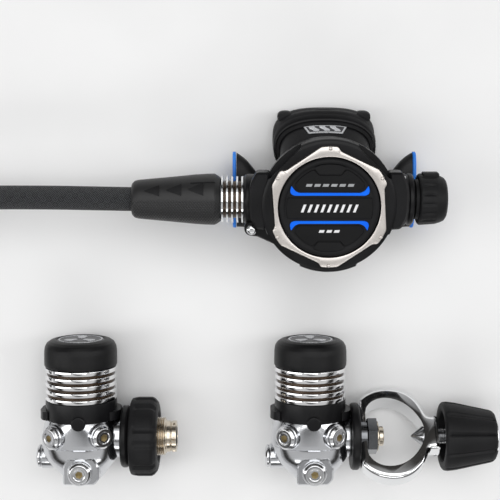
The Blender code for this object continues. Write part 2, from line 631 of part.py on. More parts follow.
def hose():
    data = bpy.data.curves.new("hose_run", "CURVE")
    data.dimensions = "3D"
    data.bevel_depth = HOSE_R * MM
    data.bevel_resolution = 3
    data.use_fill_caps = True
    points = curve_through(HOSE_ROUTE, 14.0)
    spline = data.splines.new("POLY")
    spline.points.add(len(points) - 1)
    for slot, point in zip(spline.points, points):
        slot.co = (*(point * MM), 1.0)
    data.materials.append(finish_of("hose_run", SOFT_BLACK))
    run = bpy.data.objects.new("hose_run", data)
    bpy.context.scene.collection.objects.link(run)
    x, y = COIL_CENTRE
    floor = 2 * HOSE_R
    coil = turned([(COIL_OUTER_R, 0.0), (COIL_OUTER_R, floor), (COIL_INNER_R, floor), (COIL_INNER_R, 0.0)], 36)
    add("hose_coil", coil, SOFT_BLACK, None, aim((x, y, 0), (0, 0, 1), (1, 0, 0)))
    middle = (COIL_OUTER_R - HOSE_R)
    clear = COIL_OUTER_R - middle + 9.5
    start = x - math.sqrt((COIL_OUTER_R + GAP) ** 2 - (middle - clear + HOSE_R) ** 2)
    lie = aim((start - GAP, y + middle, 9.5), (-1, 0, 0), (0, 0, 1))
    fitting = [(0, 0), (8.3, 0), (8.3, 14), (9.5, 14.5), (9.5, 23), (6.6, 23.5), (6.6, 26), (5.5, 26.5), (5.5, 35),
               (3.0, 35), (3.0, 20), (0, 20)]
    add("end_fitting", turned(fitting, SMALL_ROUND), CHROME, None, lie)


# ---------------------------------------------------------------- first stages

UP_AXIS = aim((0, 0, 0), (0, 1, 0), (-1, 0, 0))
INLET = aim((0, INLET_HEIGHT, 0), (1, 0, 0), (0, 1, 0))
SHROUD_START = BODY_HEIGHT + GAP
HOUSING_START = SHROUD_START + SHROUD_HEIGHT + GAP
CAP_START = HOUSING_START + HOUSING_HEIGHT + GAP
PORT_REACH = 24.2
REAR_REACH = (AXIS_HEIGHT - PLUG_R * math.sin(math.radians(PORT_ANGLE))) / math.cos(math.radians(PORT_ANGLE))
CHAMBER_R = 14.0
SHAFT_R = 6.0


def port_places():
    """Each plugged port: its name, a point on the cap's axis, its direction and how far its face stands out."""
    lean = math.radians(PORT_ANGLE)
    return [
        ("upper_left", (0, 29.7, 0), (-math.sin(lean), 0, math.cos(lean)), PORT_REACH),
        ("upper_right", (0, 30.2, 0), (math.sin(lean), 0, math.cos(lean)), PORT_REACH),
        ("front", (1.7, 9.0, 0), (0, 0, 1), PORT_REACH - 2),
        ("side", (0, 13.5, 0), (-1, 0, 0), PORT_REACH),
    ]


def bar(radius, start, end, sides=SMALL_ROUND):
    return turned([(0, start), (radius, start), (radius, end), (0, end)], sides)


def stage_body(prefix, group):
    sections = [(0, -1.5, 0, 8.6, 9.0, 3.0), (1.5, -1.5, 0, 10.4, 11.0, 3.0), (9, -0.8, 0, 17.5, 17.0, 2.8),
                (15, -0.4, 0, 22.0, 20.0, 2.7), (22, 0, 0, 23.4, 21.0, 2.6), (30, 0, 0, 22.8, 21.2, 2.5),
                (35, 0, 0, 21.6, 21.2, 2.2), (BODY_HEIGHT, 0, 0, 20.9, 20.9, 2.0)]
    body = add(prefix + "_body", lofted(sections, None, 24), SATIN, group, UP_AXIS)
    join(body, bar(12.5, 8, INLET_FACE), INLET)
    for name, point, direction, reach in port_places():
        join(body, bar(PLUG_R + 0.6, 8, reach), aim(point, direction))
    lean = math.radians(PORT_ANGLE)
    for side in (-1, 1):
        join(body, bar(PLUG_R, 8, REAR_REACH), aim((0, 30, 0), (side * math.sin(lean), 0, -math.cos(lean))))
    join(body, bar(PLUG_R, 8, AXIS_HEIGHT), aim((1.7, 9.0, 0), (0, 0, -1)))
    cut(body, bar(CHAMBER_R, 31, BODY_HEIGHT + 1), UP_AXIS)
    cut(body, bar(SHAFT_R, 16, 32), UP_AXIS)
    cut(body, bar(INLET_BORE_R, 0, INLET_FACE + 1), INLET)
    for name, point, direction, reach in port_places():
        place = aim(point, direction)
        cut(body, bar(4.8, reach - 8, reach + 1, 16), place)
        plug = [(0, reach - 7), (4.5, reach - 7), (4.5, reach + GAP), (PLUG_R, reach + GAP),
                (PLUG_R, reach + PLUG_HEAD - 0.6), (PLUG_R - 0.6, reach + PLUG_HEAD), (0, reach + PLUG_HEAD)]
        add(prefix + "_plug_" + name, turned(plug, SMALL_ROUND), SATIN, group, place)


def stage_tower(prefix, group):
    shroud_end = SHROUD_START + SHROUD_HEIGHT
    room = CHAMBER_R + 3
    shroud = add(prefix + "_shroud", turned([(room, SHROUD_START), (SHROUD_R, SHROUD_START),
                                             (SHROUD_R, shroud_end), (room, shroud_end)]),
                 BLACK, group, UP_AXIS)
    for side in (-1, 1):
        lobe = [(side * (SHROUD_R - 2), 12), (side * (SHROUD_R - 2), -12), (side * (SHROUD_R + 2.6), -8),
                (side * (SHROUD_R + 2.6), 8)]
        join(shroud, prism(lobe, SHROUD_START, SHROUD_START + 5), UP_AXIS)
    housing_end = HOUSING_START + HOUSING_HEIGHT
    pitch = HOUSING_HEIGHT / (HOUSING_RIBS - 0.42)
    profile = [(room, HOUSING_START)]
    for rib in range(HOUSING_RIBS):
        low = HOUSING_START + pitch * rib
        high = min(low + 0.58 * pitch, housing_end)
        profile += [(HOUSING_R, low), (HOUSING_R, high)]
        if rib < HOUSING_RIBS - 1:
            profile += [(HOUSING_GROOVE_R, high), (HOUSING_GROOVE_R, low + pitch)]
    profile += [(room, housing_end)]
    add(prefix + "_spring_housing", turned(profile, 20), CHROME, group, UP_AXIS)
    cap_end = CAP_START + CAP_HEIGHT
    add(prefix + "_cap", turned([(0, CAP_START), (CAP_R - 0.4, CAP_START), (CAP_R, CAP_START + 1.5),
                                 (CAP_R - 0.2, cap_end - 6), (CAP_R - 1.6, cap_end - 2.4), (CAP_R - 4.4, cap_end - 0.5),
                                 (14.6, cap_end), (14.2, cap_end - 0.6), (0, cap_end - 0.6)]),
        SOFT_BLACK, group, UP_AXIS)
    add(prefix + "_main_spring", spring(11.5, 1.3, BODY_HEIGHT + 2, CAP_START - GAP, 4), STEEL, group, UP_AXIS)
    stem = [(0, 18), (4.0, 18), (4.0, 24), (1.2, 25), (1.2, 33.5), (CHAMBER_R - 1, 33.5), (CHAMBER_R - 1, 34.5),
            (5, 35), (5, BODY_HEIGHT + 1.6), (0, BODY_HEIGHT + 1.6)]
    add(prefix + "_poppet", turned(stem, SMALL_ROUND), BRASS, group, UP_AXIS)


def hollow_bar(outer, inner, start, end, sides=ROUND):
    return turned([(inner, start), (outer, start), (outer, end), (inner, end)], sides)


def din_inlet(group):
    ring_start = INLET_FACE + GAP
    ring_end = ring_start + DIN_RING_LENGTH
    hub = INLET_BORE_R + 3.5
    add("din_ring", hollow_bar(DIN_RING_R, hub, ring_start, ring_end), BLACK, group, INLET)
    wheel_start = ring_end + GAP
    wheel_end = wheel_start + WHEEL_LENGTH - 4
    wheel = add("din_wheel", prism(fluted(WHEEL_R, 0.9, WHEEL_FLUTES), wheel_start, wheel_end), SOFT_BLACK, group, INLET)
    join(wheel, turned([(0, wheel_end - 1), (WHEEL_R - 1.4, wheel_end - 1), (WHEEL_R - 1.4, wheel_end),
                        (WHEEL_R - 4, wheel_end + 1.6), (0, wheel_end + 1.6)]), INLET)
    cut(wheel, bar(DIN_THREAD_R + GAP, wheel_start - 1, wheel_end + 3, ROUND), INLET)
    stud = [(INLET_BORE_R, wheel_start), (DIN_THREAD_R, wheel_start), (DIN_THREAD_R, DIN_THREAD_END),
            (DIN_NOSE_R, DIN_THREAD_END + 0.5), (DIN_NOSE_R, DIN_NOSE_END), (INLET_BORE_R, DIN_NOSE_END)]
    add("din_stud", turned(stud), NICKEL, group, INLET)


def yoke_inlet(group):
    ring_start = INLET_FACE + GAP
    saddle_end = ring_start + SADDLE_LENGTH
    neck_r = 9.0
    add("yoke_ring", hollow_bar(SADDLE_R, neck_r + GAP, ring_start, saddle_end), BLACK, group, INLET)
    lie = aim((0, INLET_HEIGHT, 0), (0, 0, 1), (1, 0, 0))
    roll = Matrix.Translation(Vector((0, INLET_HEIGHT, 0)) * MM) @ Matrix.Rotation(
        math.radians(-YOKE_TURN), 4, "X") @ Matrix.Translation(Vector((0, -INLET_HEIGHT, 0)) * MM) @ lie
    start = saddle_end + GAP
    half = YOKE_HALF_WIDTH
    boss = 10.5
    outline = [(start, -half + 9.5), (start, half - 9.5)]
    outline += [(33, half - 4.5), (40, half - 1), (48, half), (55, half - 1.3), (62, half - 6), (66.5, half - 13),
                (69, boss), (YOKE_END, boss)]
    outline += [(x, -y) for x, y in reversed(outline[2:])]
    clamp = add("yoke_clamp", prism(outline, -YOKE_THICK / 2, YOKE_THICK / 2), CHROME, group, roll)
    gap_shape = [(YOKE_GAP_START, -15), (YOKE_GAP_START, 15), (38, 20), (46, 22.3), (54, 20.6), (61, 15.5),
                 (YOKE_GAP_END, 7)]
    gap_shape += [(x, -y) for x, y in reversed(gap_shape[2:])]
    cut(clamp, prism(gap_shape, -YOKE_THICK, YOKE_THICK), roll)
    cut(clamp, bar(neck_r + GAP, start - 1, YOKE_GAP_START + 1, ROUND), INLET)
    cut(clamp, bar(SCREW_R + GAP, YOKE_GAP_END - 3, YOKE_END + 1, 20), INLET)
    hexagon = [(11 * math.cos(math.pi / 3 * k), 11 * math.sin(math.pi / 3 * k)) for k in range(6)]
    seat = YOKE_GAP_START + GAP
    retainer = add("yoke_retainer", prism(hexagon, seat, seat + 6), CHROME, group, INLET)
    join(retainer, bar(neck_r, ring_start, seat + 1, ROUND), INLET)
    join(retainer, turned([(0, seat + 5), (9, seat + 5), (9, seat + 7), (5.9, seat + 7), (5.9, seat + 10.2),
                           (0, seat + 10.2)]), INLET)
    cut(retainer, bar(3.0, ring_start - 1, seat + 12, 16), INLET)
    knob_start = YOKE_END + 2
    knob_end = knob_start + HAND_KNOB_LENGTH
    tip = SCREW_TIP
    screw = [(0, tip), (6.0, tip + 7.0), (SCREW_R, tip + 7.4), (SCREW_R, knob_end - 6), (0, knob_end - 6)]
    add("yoke_screw", turned(screw, 20), STEEL, group, INLET)
    room_end = knob_start + SCREW_TRAVEL + 4
    knob = [(SCREW_R + GAP, room_end), (boss + 4, room_end), (boss + 4.5, knob_start),
            (HAND_KNOB_R - 1, knob_start), (HAND_KNOB_R, knob_start + 3),
            (HAND_KNOB_R - 0.6, knob_start + 9), (HAND_KNOB_TIP_R, knob_end - 2), (HAND_KNOB_TIP_R - 2, knob_end),
            (0, knob_end), (0, knob_end - 6 + GAP), (SCREW_R + GAP, knob_end - 6 + GAP)]
    add("yoke_knob", turned(knob), SOFT_BLACK, group, INLET)


def first_stages():
    for prefix, (x, y), inlet in (("din", DIN_PLACE, din_inlet), ("yoke", YOKE_PLACE, yoke_inlet)):
        group = group_frame(prefix + "_frame", Matrix.Translation(Vector((x, y, AXIS_HEIGHT)) * MM))
        stage_body(prefix, group)
        stage_tower(prefix, group)
        inlet(group)


def second_stage():
    group = stage_frame()
    face_and_button(group)
    cover(group)
    case_body(group)
    badge(group)
    breathing_parts(group)
    knob_side(group)
    hose_side(group)
    mouth_side(group)


clear_scene()
second_stage()
hose()
first_stages()
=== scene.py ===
import math

import bmesh
import bpy
from mathutils import Matrix, Vector


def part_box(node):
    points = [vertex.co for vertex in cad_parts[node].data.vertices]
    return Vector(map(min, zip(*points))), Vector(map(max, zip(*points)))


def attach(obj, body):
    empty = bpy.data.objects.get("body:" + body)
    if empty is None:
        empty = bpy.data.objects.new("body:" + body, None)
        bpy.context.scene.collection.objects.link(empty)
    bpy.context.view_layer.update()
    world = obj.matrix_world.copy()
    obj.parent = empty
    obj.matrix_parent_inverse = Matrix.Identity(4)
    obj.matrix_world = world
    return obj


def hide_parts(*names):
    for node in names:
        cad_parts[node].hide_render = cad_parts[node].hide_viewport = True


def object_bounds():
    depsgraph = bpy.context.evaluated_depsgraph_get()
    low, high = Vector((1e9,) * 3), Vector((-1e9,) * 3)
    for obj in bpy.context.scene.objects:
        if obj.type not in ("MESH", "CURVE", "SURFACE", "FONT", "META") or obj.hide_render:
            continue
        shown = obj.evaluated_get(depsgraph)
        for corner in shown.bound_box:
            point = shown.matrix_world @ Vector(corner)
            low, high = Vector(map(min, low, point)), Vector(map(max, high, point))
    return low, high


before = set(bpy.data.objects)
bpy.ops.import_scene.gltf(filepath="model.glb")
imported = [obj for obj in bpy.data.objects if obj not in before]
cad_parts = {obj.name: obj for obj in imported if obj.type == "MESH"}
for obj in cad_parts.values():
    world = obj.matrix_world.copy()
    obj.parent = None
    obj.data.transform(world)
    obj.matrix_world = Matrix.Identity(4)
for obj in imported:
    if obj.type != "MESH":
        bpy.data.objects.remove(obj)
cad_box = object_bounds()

# ---------------------------------------------------------------- table, light and camera
# The set lies on a pale table top in a light tent, and is looked at from almost straight above.
# Lamps hang over and beside it, and the tent is darker at one height, which draws dark lines in the chrome.
MM = 0.001
low = Vector(cad_box[0])
LENS = 76.5
CAMERA_PLACE = Vector((-0.0096, 0.0885, 0.650))
CAMERA_TARGET = Vector((-0.0096, 0.0285, 0.035))
LAMPS = (
    ("lamp_over", (0.05, 0.35, 1.25), (1.1, 1.1), 6.8),
    ("lamp_left", (-1.0, -0.1, 0.75), (0.3, 1.2), 3.7),
    ("lamp_right", (1.1, 0.2, 0.8), (0.35, 1.2), 3.7),
    ("lamp_front", (0.1, -1.1, 0.9), (1.2, 0.3), 2.5),
)

camera = bpy.data.objects.new("camera", bpy.data.cameras.new("camera"))
camera.data.lens = LENS
camera.data.clip_start = 0.01
camera.data.clip_end = 20
camera.location = CAMERA_PLACE
sight = (CAMERA_TARGET - CAMERA_PLACE).normalized()
across = Vector((1, 0, 0))
camera.rotation_euler = Matrix((across, (-sight).cross(across), -sight)).transposed().to_euler()
bpy.context.scene.collection.objects.link(camera)
bpy.context.scene.camera = camera

for lamp_name, lamp_place, lamp_size, lamp_power in LAMPS:
    lamp = bpy.data.lights.new(lamp_name, "AREA")
    lamp.shape = "RECTANGLE"
    lamp.size, lamp.size_y = lamp_size
    lamp.energy = lamp_power
    lamp_object = bpy.data.objects.new(lamp_name, lamp)
    lamp_object.location = lamp_place
    lamp_object.rotation_euler = (-Vector(lamp_place)).to_track_quat("-Z", "Y").to_euler()
    bpy.context.scene.collection.objects.link(lamp_object)


def new_node(tree, kind, **values):
    """A shader node with some of its settings and input values given by name."""
    node = tree.nodes.new(kind)
    for key, value in values.items():
        if key in node.inputs:
            node.inputs[key].default_value = value
        else:
            setattr(node, key, value)
    return node


def colour_ramp(tree, stops):
    """A ramp through (position, colour) stops."""
    ramp = tree.nodes.new("ShaderNodeValToRGB")
    while len(ramp.color_ramp.elements) < len(stops):
        ramp.color_ramp.elements.new(0.5)
    for element, (position, colour) in zip(ramp.color_ramp.elements, stops):
        element.position = position
        element.color = (*colour, 1.0)
    return ramp


TENT = ((0.0, (0.62, 0.62, 0.63)), (0.56, (0.80, 0.80, 0.81)), (0.64, (0.05, 0.048, 0.046)),
        (0.74, (0.07, 0.066, 0.062)), (0.82, (1.0, 1.0, 1.0)), (0.965, (1.0, 1.0, 1.0)),
        (0.985, (0.28, 0.28, 0.28)), (1.0, (0.22, 0.22, 0.22)))
world = bpy.data.worlds.new("tent")
world.use_nodes = True
bpy.context.scene.world = world
bpy.context.scene.view_settings.view_transform = "Standard"
sky = world.node_tree
direction = new_node(sky, "ShaderNodeTexCoord")
height = new_node(sky, "ShaderNodeSeparateXYZ")
level = new_node(sky, "ShaderNodeMapRange", **{"From Min": -1.0, "From Max": 1.0})
tent = colour_ramp(sky, TENT)
sky.links.new(direction.outputs["Generated"], height.inputs[0])
sky.links.new(height.outputs["Z"], level.inputs["Value"])
sky.links.new(level.outputs[0], tent.inputs[0])
sky.links.new(tent.outputs[0], sky.nodes["Background"].inputs["Color"])
sky.nodes["Background"].inputs["Strength"].default_value = 0.62

table_mesh = bpy.data.meshes.new("table")
table_half = 3.0
table_mesh.from_pydata([(-table_half, -table_half, 0), (table_half, -table_half, 0),
                        (table_half, table_half, 0), (-table_half, table_half, 0)], [], [(0, 1, 2, 3)])
table = bpy.data.objects.new("table", table_mesh)
table.location.z = low.z - 0.0005
bpy.context.scene.collection.objects.link(table)
paper = bpy.data.materials.new("table_paper")
paper.use_nodes = True
paper.node_tree.nodes["Principled BSDF"].inputs["Roughness"].default_value = 0.9
paper_grain = new_node(paper.node_tree, "ShaderNodeTexNoise", Scale=90.0)
paper_tone = colour_ramp(paper.node_tree, ((0.3, (0.86, 0.86, 0.86)), (0.7, (0.89, 0.89, 0.89))))
paper.node_tree.links.new(paper_grain.outputs["Fac"], paper_tone.inputs[0])
paper.node_tree.links.new(paper_tone.outputs[0],
                          paper.node_tree.nodes["Principled BSDF"].inputs["Base Color"])
table_mesh.materials.append(paper)

# ---------------------------------------------------------------- hose
# A low-pressure hose of 13.8 mm under a black herringbone braid. It leaves the fins through a rubber sleeve,
# sags to the table and lies there in one round turn. A crimped ferrule and a threaded fitting end it.
HOSE_R = 6.9
HOSE_TURN_SPREAD = 13.0
HOSE_TURN_START_R = 66.0
HOSE_COIL_Z = 6.95
HOSE_SETTLE = math.radians(75)
HOSE_STEPS = 72
HOSE_SIDES = 48
HOSE_ROUTE = [
    (-36.6, 58.25, 39.3), (-54, 58.25, 39.3), (-75, 58.3, 39.2), (-97, 58.7, 39), (-120, 59.1, 38.7),
    (-142, 59.2, 38.2), (-162, 59.1, 37), (-180, 58.8, 34.6), (-197, 58.5, 31.2), (-214, 58.3, 27.4),
    (-230, 58.1, 24.2), (-246, 58, 22.2), (-260, 58, 21.4), (-274, 58, 21.2),
]


def smooth_through(points, steps):
    """Points on a Catmull-Rom curve through the given ones."""
    knots = [Vector(p) for p in points]
    knots = [knots[0] * 2 - knots[1]] + knots + [knots[-1] * 2 - knots[-2]]
    dense = []
    for a, b, c, d in zip(knots, knots[1:], knots[2:], knots[3:]):
        for k in range(steps):
            t = k / steps
            dense.append(0.5 * (2 * b + (c - a) * t + (2 * a - 5 * b + 4 * c - d) * t * t
                                + (3 * b - a - 3 * c + d) * t ** 3))
    return dense + [knots[-2]]


def hose_line():
    """The whole route in metres: the chosen points, one turn of a spiral, and a straight end."""
    coil_low, coil_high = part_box("hose_coil")
    centre = (coil_low + coil_high) / 2 / MM
    points = list(HOSE_ROUTE)
    for step in range(1, HOSE_STEPS + 1):
        turn = 2 * math.pi * step / HOSE_STEPS
        radius = HOSE_TURN_START_R + HOSE_TURN_SPREAD * step / HOSE_STEPS
        settled = min(1.0, turn / HOSE_SETTLE)
        drop = settled * settled * (3 - 2 * settled)
        height = HOSE_ROUTE[-1][2] * (1 - drop) + HOSE_COIL_Z * drop
        points.append((centre.x - radius * math.sin(turn), centre.y + radius * math.cos(turn), height))
    end_low, end_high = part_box("end_fitting")
    axis = (end_low + end_high) / 2 / MM
    start, final = Vector(points[-1]), Vector((end_high.x / MM, axis.y, axis.z))
    for part in (0.35, 0.7, 1.0):
        points.append(tuple(start.lerp(final, part)))
    return [p * MM for p in smooth_through(points, 4)]


def tube(line, radius, sides):
    """A tube along a line, closed at both ends, with its length in u and its girth in v."""
    bm = bmesh.new()
    uv = bm.loops.layers.uv.new("length_and_girth")
    side = Vector((0, 0, 1))
    rings, walked, lengths = [], 0.0, []
    for index, point in enumerate(line):
        ahead = line[min(index + 1, len(line) - 1)] - line[max(index - 1, 0)]
        ahead.normalize()
        side = (side - ahead * side.dot(ahead)).normalized()
        other = ahead.cross(side)
        if index:
            walked += (point - line[index - 1]).length
        lengths.append(walked)
        rings.append([bm.verts.new(point + radius * (side * math.cos(2 * math.pi * k / sides)
                                                     + other * math.sin(2 * math.pi * k / sides)))
                      for k in range(sides)])
    girth = 2 * math.pi * radius
    for index in range(len(rings) - 1):
        for k in range(sides):
            following = (k + 1) % sides
            face = bm.faces.new((rings[index][k], rings[index][following],
                                 rings[index + 1][following], rings[index + 1][k]))
            corners = ((index, k), (index, k + 1), (index + 1, k + 1), (index + 1, k))
            for loop, (along, around) in zip(face.loops, corners):
                loop[uv].uv = (lengths[along], girth * around / sides)
    bm.faces.new(rings[0])
    bm.faces.new(rings[-1])
    return bm


def put(name, bm, place, finish, body, replaced=(), edge=30):
    """A finished piece: the mesh becomes an object, rides on its body and stands for its nodes."""
    bmesh.ops.recalc_face_normals(bm, faces=bm.faces)
    mesh = bpy.data.meshes.new(name)
    bm.to_mesh(mesh)
    bm.free()
    mesh.transform(place)
    mesh.shade_smooth()
    mesh.set_sharp_from_angle(angle=math.radians(edge))
    piece = bpy.data.objects.new(name, mesh)
    bpy.context.scene.collection.objects.link(piece)
    for material in (finish if isinstance(finish, (list, tuple)) else [finish]):
        mesh.materials.append(material)
    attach(piece, body)
    if replaced:
        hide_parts(*replaced)
    return piece


def shader_of(name, metal, coat=0.0):
    """A new material, its tree and its Principled shader."""
    material = bpy.data.materials.new(name)
    material.use_nodes = True
    shader = material.node_tree.nodes["Principled BSDF"]
    shader.inputs["Metallic"].default_value = metal
    shader.inputs["Coat Weight"].default_value = coat
    return material, material.node_tree, shader


def braid_finish():
    """Two sets of strands at 45 degrees that pass over and under each other in diamonds."""
    material, tree, shader = shader_of("herringbone_braid", 0.0)
    place = new_node(tree, "ShaderNodeUVMap")
    strands = []
    for turn in (45, -45):
        lean = new_node(tree, "ShaderNodeMapping", Rotation=(0, 0, math.radians(turn)))
        wave = new_node(tree, "ShaderNodeTexWave", Scale=330.0, Distortion=0.35)
        tree.links.new(place.outputs[0], lean.inputs[0])
        tree.links.new(lean.outputs[0], wave.inputs[0])
        strands.append((lean, wave))
    cells = new_node(tree, "ShaderNodeTexChecker", Scale=430.0)
    tree.links.new(strands[0][0].outputs[0], cells.inputs[0])
    woven = new_node(tree, "ShaderNodeMix", data_type="FLOAT")
    tree.links.new(cells.outputs["Fac"], woven.inputs[0])
    tree.links.new(strands[0][1].outputs["Fac"], woven.inputs[2])
    tree.links.new(strands[1][1].outputs["Fac"], woven.inputs[3])
    tone = colour_ramp(tree, ((0.2, (0.004, 0.004, 0.005)), (0.75, (0.026, 0.028, 0.031)),
                              (1.0, (0.075, 0.08, 0.085))))
    sheen = new_node(tree, "ShaderNodeMapRange", **{"To Min": 0.75, "To Max": 0.42})
    relief = new_node(tree, "ShaderNodeBump", Strength=0.9, Distance=0.0005)
    tree.links.new(woven.outputs[0], tone.inputs[0])
    tree.links.new(woven.outputs[0], sheen.inputs["Value"])
    tree.links.new(woven.outputs[0], relief.inputs["Height"])
    tree.links.new(tone.outputs[0], shader.inputs["Base Color"])
    tree.links.new(sheen.outputs[0], shader.inputs["Roughness"])
    tree.links.new(relief.outputs[0], shader.inputs["Normal"])
    return material


hose_path = hose_line()
hose = put("hose", tube(hose_path, HOSE_R * MM, HOSE_SIDES), Matrix.Identity(4), braid_finish(),
           "second_stage", ("hose_run", "hose_coil"), 60)


def finish(name, colour, worn, rough, metal=0.0, grain=900.0, depth=0.00004, stretch=(1, 1, 1), coat=0.0):
    """A moulded or machined surface: its colour drifts towards worn; fine grain sets gloss and relief."""
    material, tree, shader = shader_of(name, metal, coat)
    where = new_node(tree, "ShaderNodeTexCoord")
    pull = new_node(tree, "ShaderNodeMapping", Scale=stretch)
    fine = new_node(tree, "ShaderNodeTexNoise", Scale=grain, Detail=4.0)
    broad = new_node(tree, "ShaderNodeTexNoise", Scale=45.0, Detail=3.0)
    tone = colour_ramp(tree, ((0.35, colour), (0.72, worn)))
    gloss = new_node(tree, "ShaderNodeMapRange",
                     **{"From Min": 0.25, "From Max": 0.75, "To Min": rough[0], "To Max": rough[1]})
    relief = new_node(tree, "ShaderNodeBump", Strength=0.35, Distance=depth)
    tree.links.new(where.outputs["Object"], pull.inputs[0])
    tree.links.new(where.outputs["Object"], broad.inputs[0])
    tree.links.new(pull.outputs[0], fine.inputs[0])
    tree.links.new(broad.outputs["Fac"], tone.inputs[0])
    tree.links.new(fine.outputs["Fac"], gloss.inputs["Value"])
    tree.links.new(fine.outputs["Fac"], relief.inputs["Height"])
    tree.links.new(tone.outputs[0], shader.inputs["Base Color"])
    tree.links.new(gloss.outputs[0], shader.inputs["Roughness"])
    tree.links.new(relief.outputs[0], shader.inputs["Normal"])
    shader.inputs["Specular IOR Level"].default_value = 0.5 if metal else 0.2
    return material


def rounded(points, radius, closed=True, arc=3):
    """The outline with each corner replaced by a small arc, limited by the edges beside it."""
    made = []
    count = len(points)
    for index, point in enumerate(points):
        corner = Vector(point)
        if not closed and index in (0, count - 1):
            made.append(tuple(corner))
            continue
        before = Vector(points[index - 1]) - corner
        after = Vector(points[(index + 1) % count]) - corner
        reach = min(radius, before.length * 0.45, after.length * 0.45)
        first = corner + before.normalized() * reach
        last = corner + after.normalized() * reach
        for k in range(arc + 1):
            t = k / arc
            made.append(tuple(first * (1 - t) ** 2 + corner * 2 * t * (1 - t) + last * t * t))
    return made


def turned(profile, sides=96, edge=0.35, scallop=None, blind=False):
    """A solid of revolution about +Z from (radius, height) points, with its corners rounded by edge.

    A blind profile runs up the outside, over the end and down the bore."""
    hollow = profile[0][0] != 0
    soft = rounded(profile, edge, hollow and not blind) if edge else profile
    bm = bmesh.new()
    rings = []
    for radius, height in soft:
        if radius < 1e-6:
            rings.append([bm.verts.new((0, 0, height))])
            continue
        ring = []
        for k in range(sides):
            angle = 2 * math.pi * k / sides
            reach = radius + (scallop(angle, radius, height) if scallop else 0)
            ring.append(bm.verts.new((reach * math.cos(angle), reach * math.sin(angle), height)))
        rings.append(ring)
    for index in range(len(rings) if hollow or blind else len(rings) - 1):
        near, far = rings[index], rings[(index + 1) % len(rings)]
        for k in range(sides):
            following = (k + 1) % sides
            corners = list(dict.fromkeys([near[k % len(near)], near[following % len(near)],
                                          far[following % len(far)], far[k % len(far)]]))
            if len(corners) > 2:
                bm.faces.new(corners)
    return bm


def aim(point, direction, side=None):
    """A matrix at a point in millimetres whose +Z looks along direction and whose +X leans to side."""
    forward = Vector(direction).normalized()
    across = Vector(side) if side else forward.orthogonal()
    across = (across - forward * across.dot(forward)).normalized()
    matrix = Matrix((across, forward.cross(across), forward)).transposed().to_4x4()
    matrix.translation = Vector(point)
    return matrix


FITTING_STEEL = finish("fitting_plating", (0.62, 0.62, 0.61), (0.70, 0.70, 0.69), (0.16, 0.30), 1.0, 1500)
fitting_low, fitting_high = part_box("end_fitting")
fitting_middle = (fitting_low + fitting_high) / 2 / MM
METRES = Matrix.Scale(MM, 4)
fitting_place = METRES @ aim((fitting_high.x / MM, fitting_middle.y, fitting_middle.z), (-1, 0, 0), (0, 0, 1))


def thread(radius, start, end, pitch, depth):
    """Profile points of a screw thread drawn as close ridges."""
    points = []
    count = int((end - start) / pitch)
    for ridge in range(count):
        base = start + pitch * ridge
        points += [(radius - depth, base), (radius, base + pitch * 0.4), (radius, base + pitch * 0.6),
                   (radius - depth, base + pitch)]
    return points


fitting_profile = [(0, 0.1), (7.8, 0.1), (8.3, 0.8)]
for crimp in range(3):
    fitting_profile += [(8.3, 2.6 + 3.6 * crimp), (7.7, 3.2 + 3.6 * crimp), (7.7, 4.4 + 3.6 * crimp),
                        (8.3, 5.0 + 3.6 * crimp)]
fitting_profile += [(8.3, 14), (9.5, 14.5), (9.5, 23), (6.6, 23.5), (6.6, 26)]
fitting_profile += thread(5.9, 26.5, 34, 1.25, 0.6) + [(5.0, 35), (3.0, 35), (3.0, 20), (0, 20)]
end_fitting = put("hose_end_fitting", turned(fitting_profile, 48, 0.25), fitting_place, FITTING_STEEL,
                  "second_stage", ("end_fitting",))

# ---------------------------------------------------------------- second stage: face ring
# A stamped ring of brushed steel with six lobes; after each lobe the edge steps in and runs out to the next.
# Six domed pins hold it down on the cover, and the purge button moves in its bore.
ring_low, ring_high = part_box("face_ring")
RING_THICK = 2.2
STAGE_TILT = math.radians(9)
RING_LOBE_R = (ring_high.x - ring_low.x) / 2 / MM * 1.004
RING_STEP_R = RING_LOBE_R - 2.3
BUTTON_R = 28.0
RING_BORE_R = BUTTON_R + 0.5
PIN_R = 1.15
PIN_CIRCLE_R = 33.2
RING_SAMPLES = 720
tilt = Matrix.Rotation(STAGE_TILT - math.pi / 2, 4, "X")
stage_origin = (ring_low + ring_high) / 2 / MM - tilt @ Vector((0, RING_THICK / 2, 0))
STAGE = METRES @ Matrix.Translation(stage_origin) @ tilt
BARREL_DEPTH = 24.0
ALONG_DEPTH = STAGE @ aim((0, 0, 0), (0, 1, 0), (-1, 0, 0))
ALONG_BARREL = STAGE @ aim((0, BARREL_DEPTH, 0), (1, 0, 0), (0, 1, 0))
ALONG_X = STAGE @ aim((0, 0, 0), (1, 0, 0), (0, 1, 0))


def ring_outline():
    """Corner points of the ring's edge, clockwise from the top lobe."""
    points = []
    for lobe in range(6):
        centre = 90 - 60 * lobe
        for offset, radius in ((-8.5, RING_LOBE_R), (-1, RING_LOBE_R), (7, RING_LOBE_R), (10.5, RING_STEP_R)):
            angle = math.radians(centre - offset)
            points.append((radius * math.cos(angle), radius * math.sin(angle)))
    return points


def reach_at(outline, angle):
    """How far from the middle an outline lies in one direction."""
    ahead = Vector((math.cos(angle), math.sin(angle)))
    best = 0.0
    for index, point in enumerate(outline):
        a, b = Vector(outline[index - 1]), Vector(point)
        edge = b - a
        across = ahead.x * edge.y - ahead.y * edge.x
        if abs(across) < 1e-9:
            continue
        t = (a.x * edge.y - a.y * edge.x) / across
        s = (a.x * ahead.y - a.y * ahead.x) / across
        if -1e-6 <= s <= 1 + 1e-6 and t > best:
            best = t
    return best


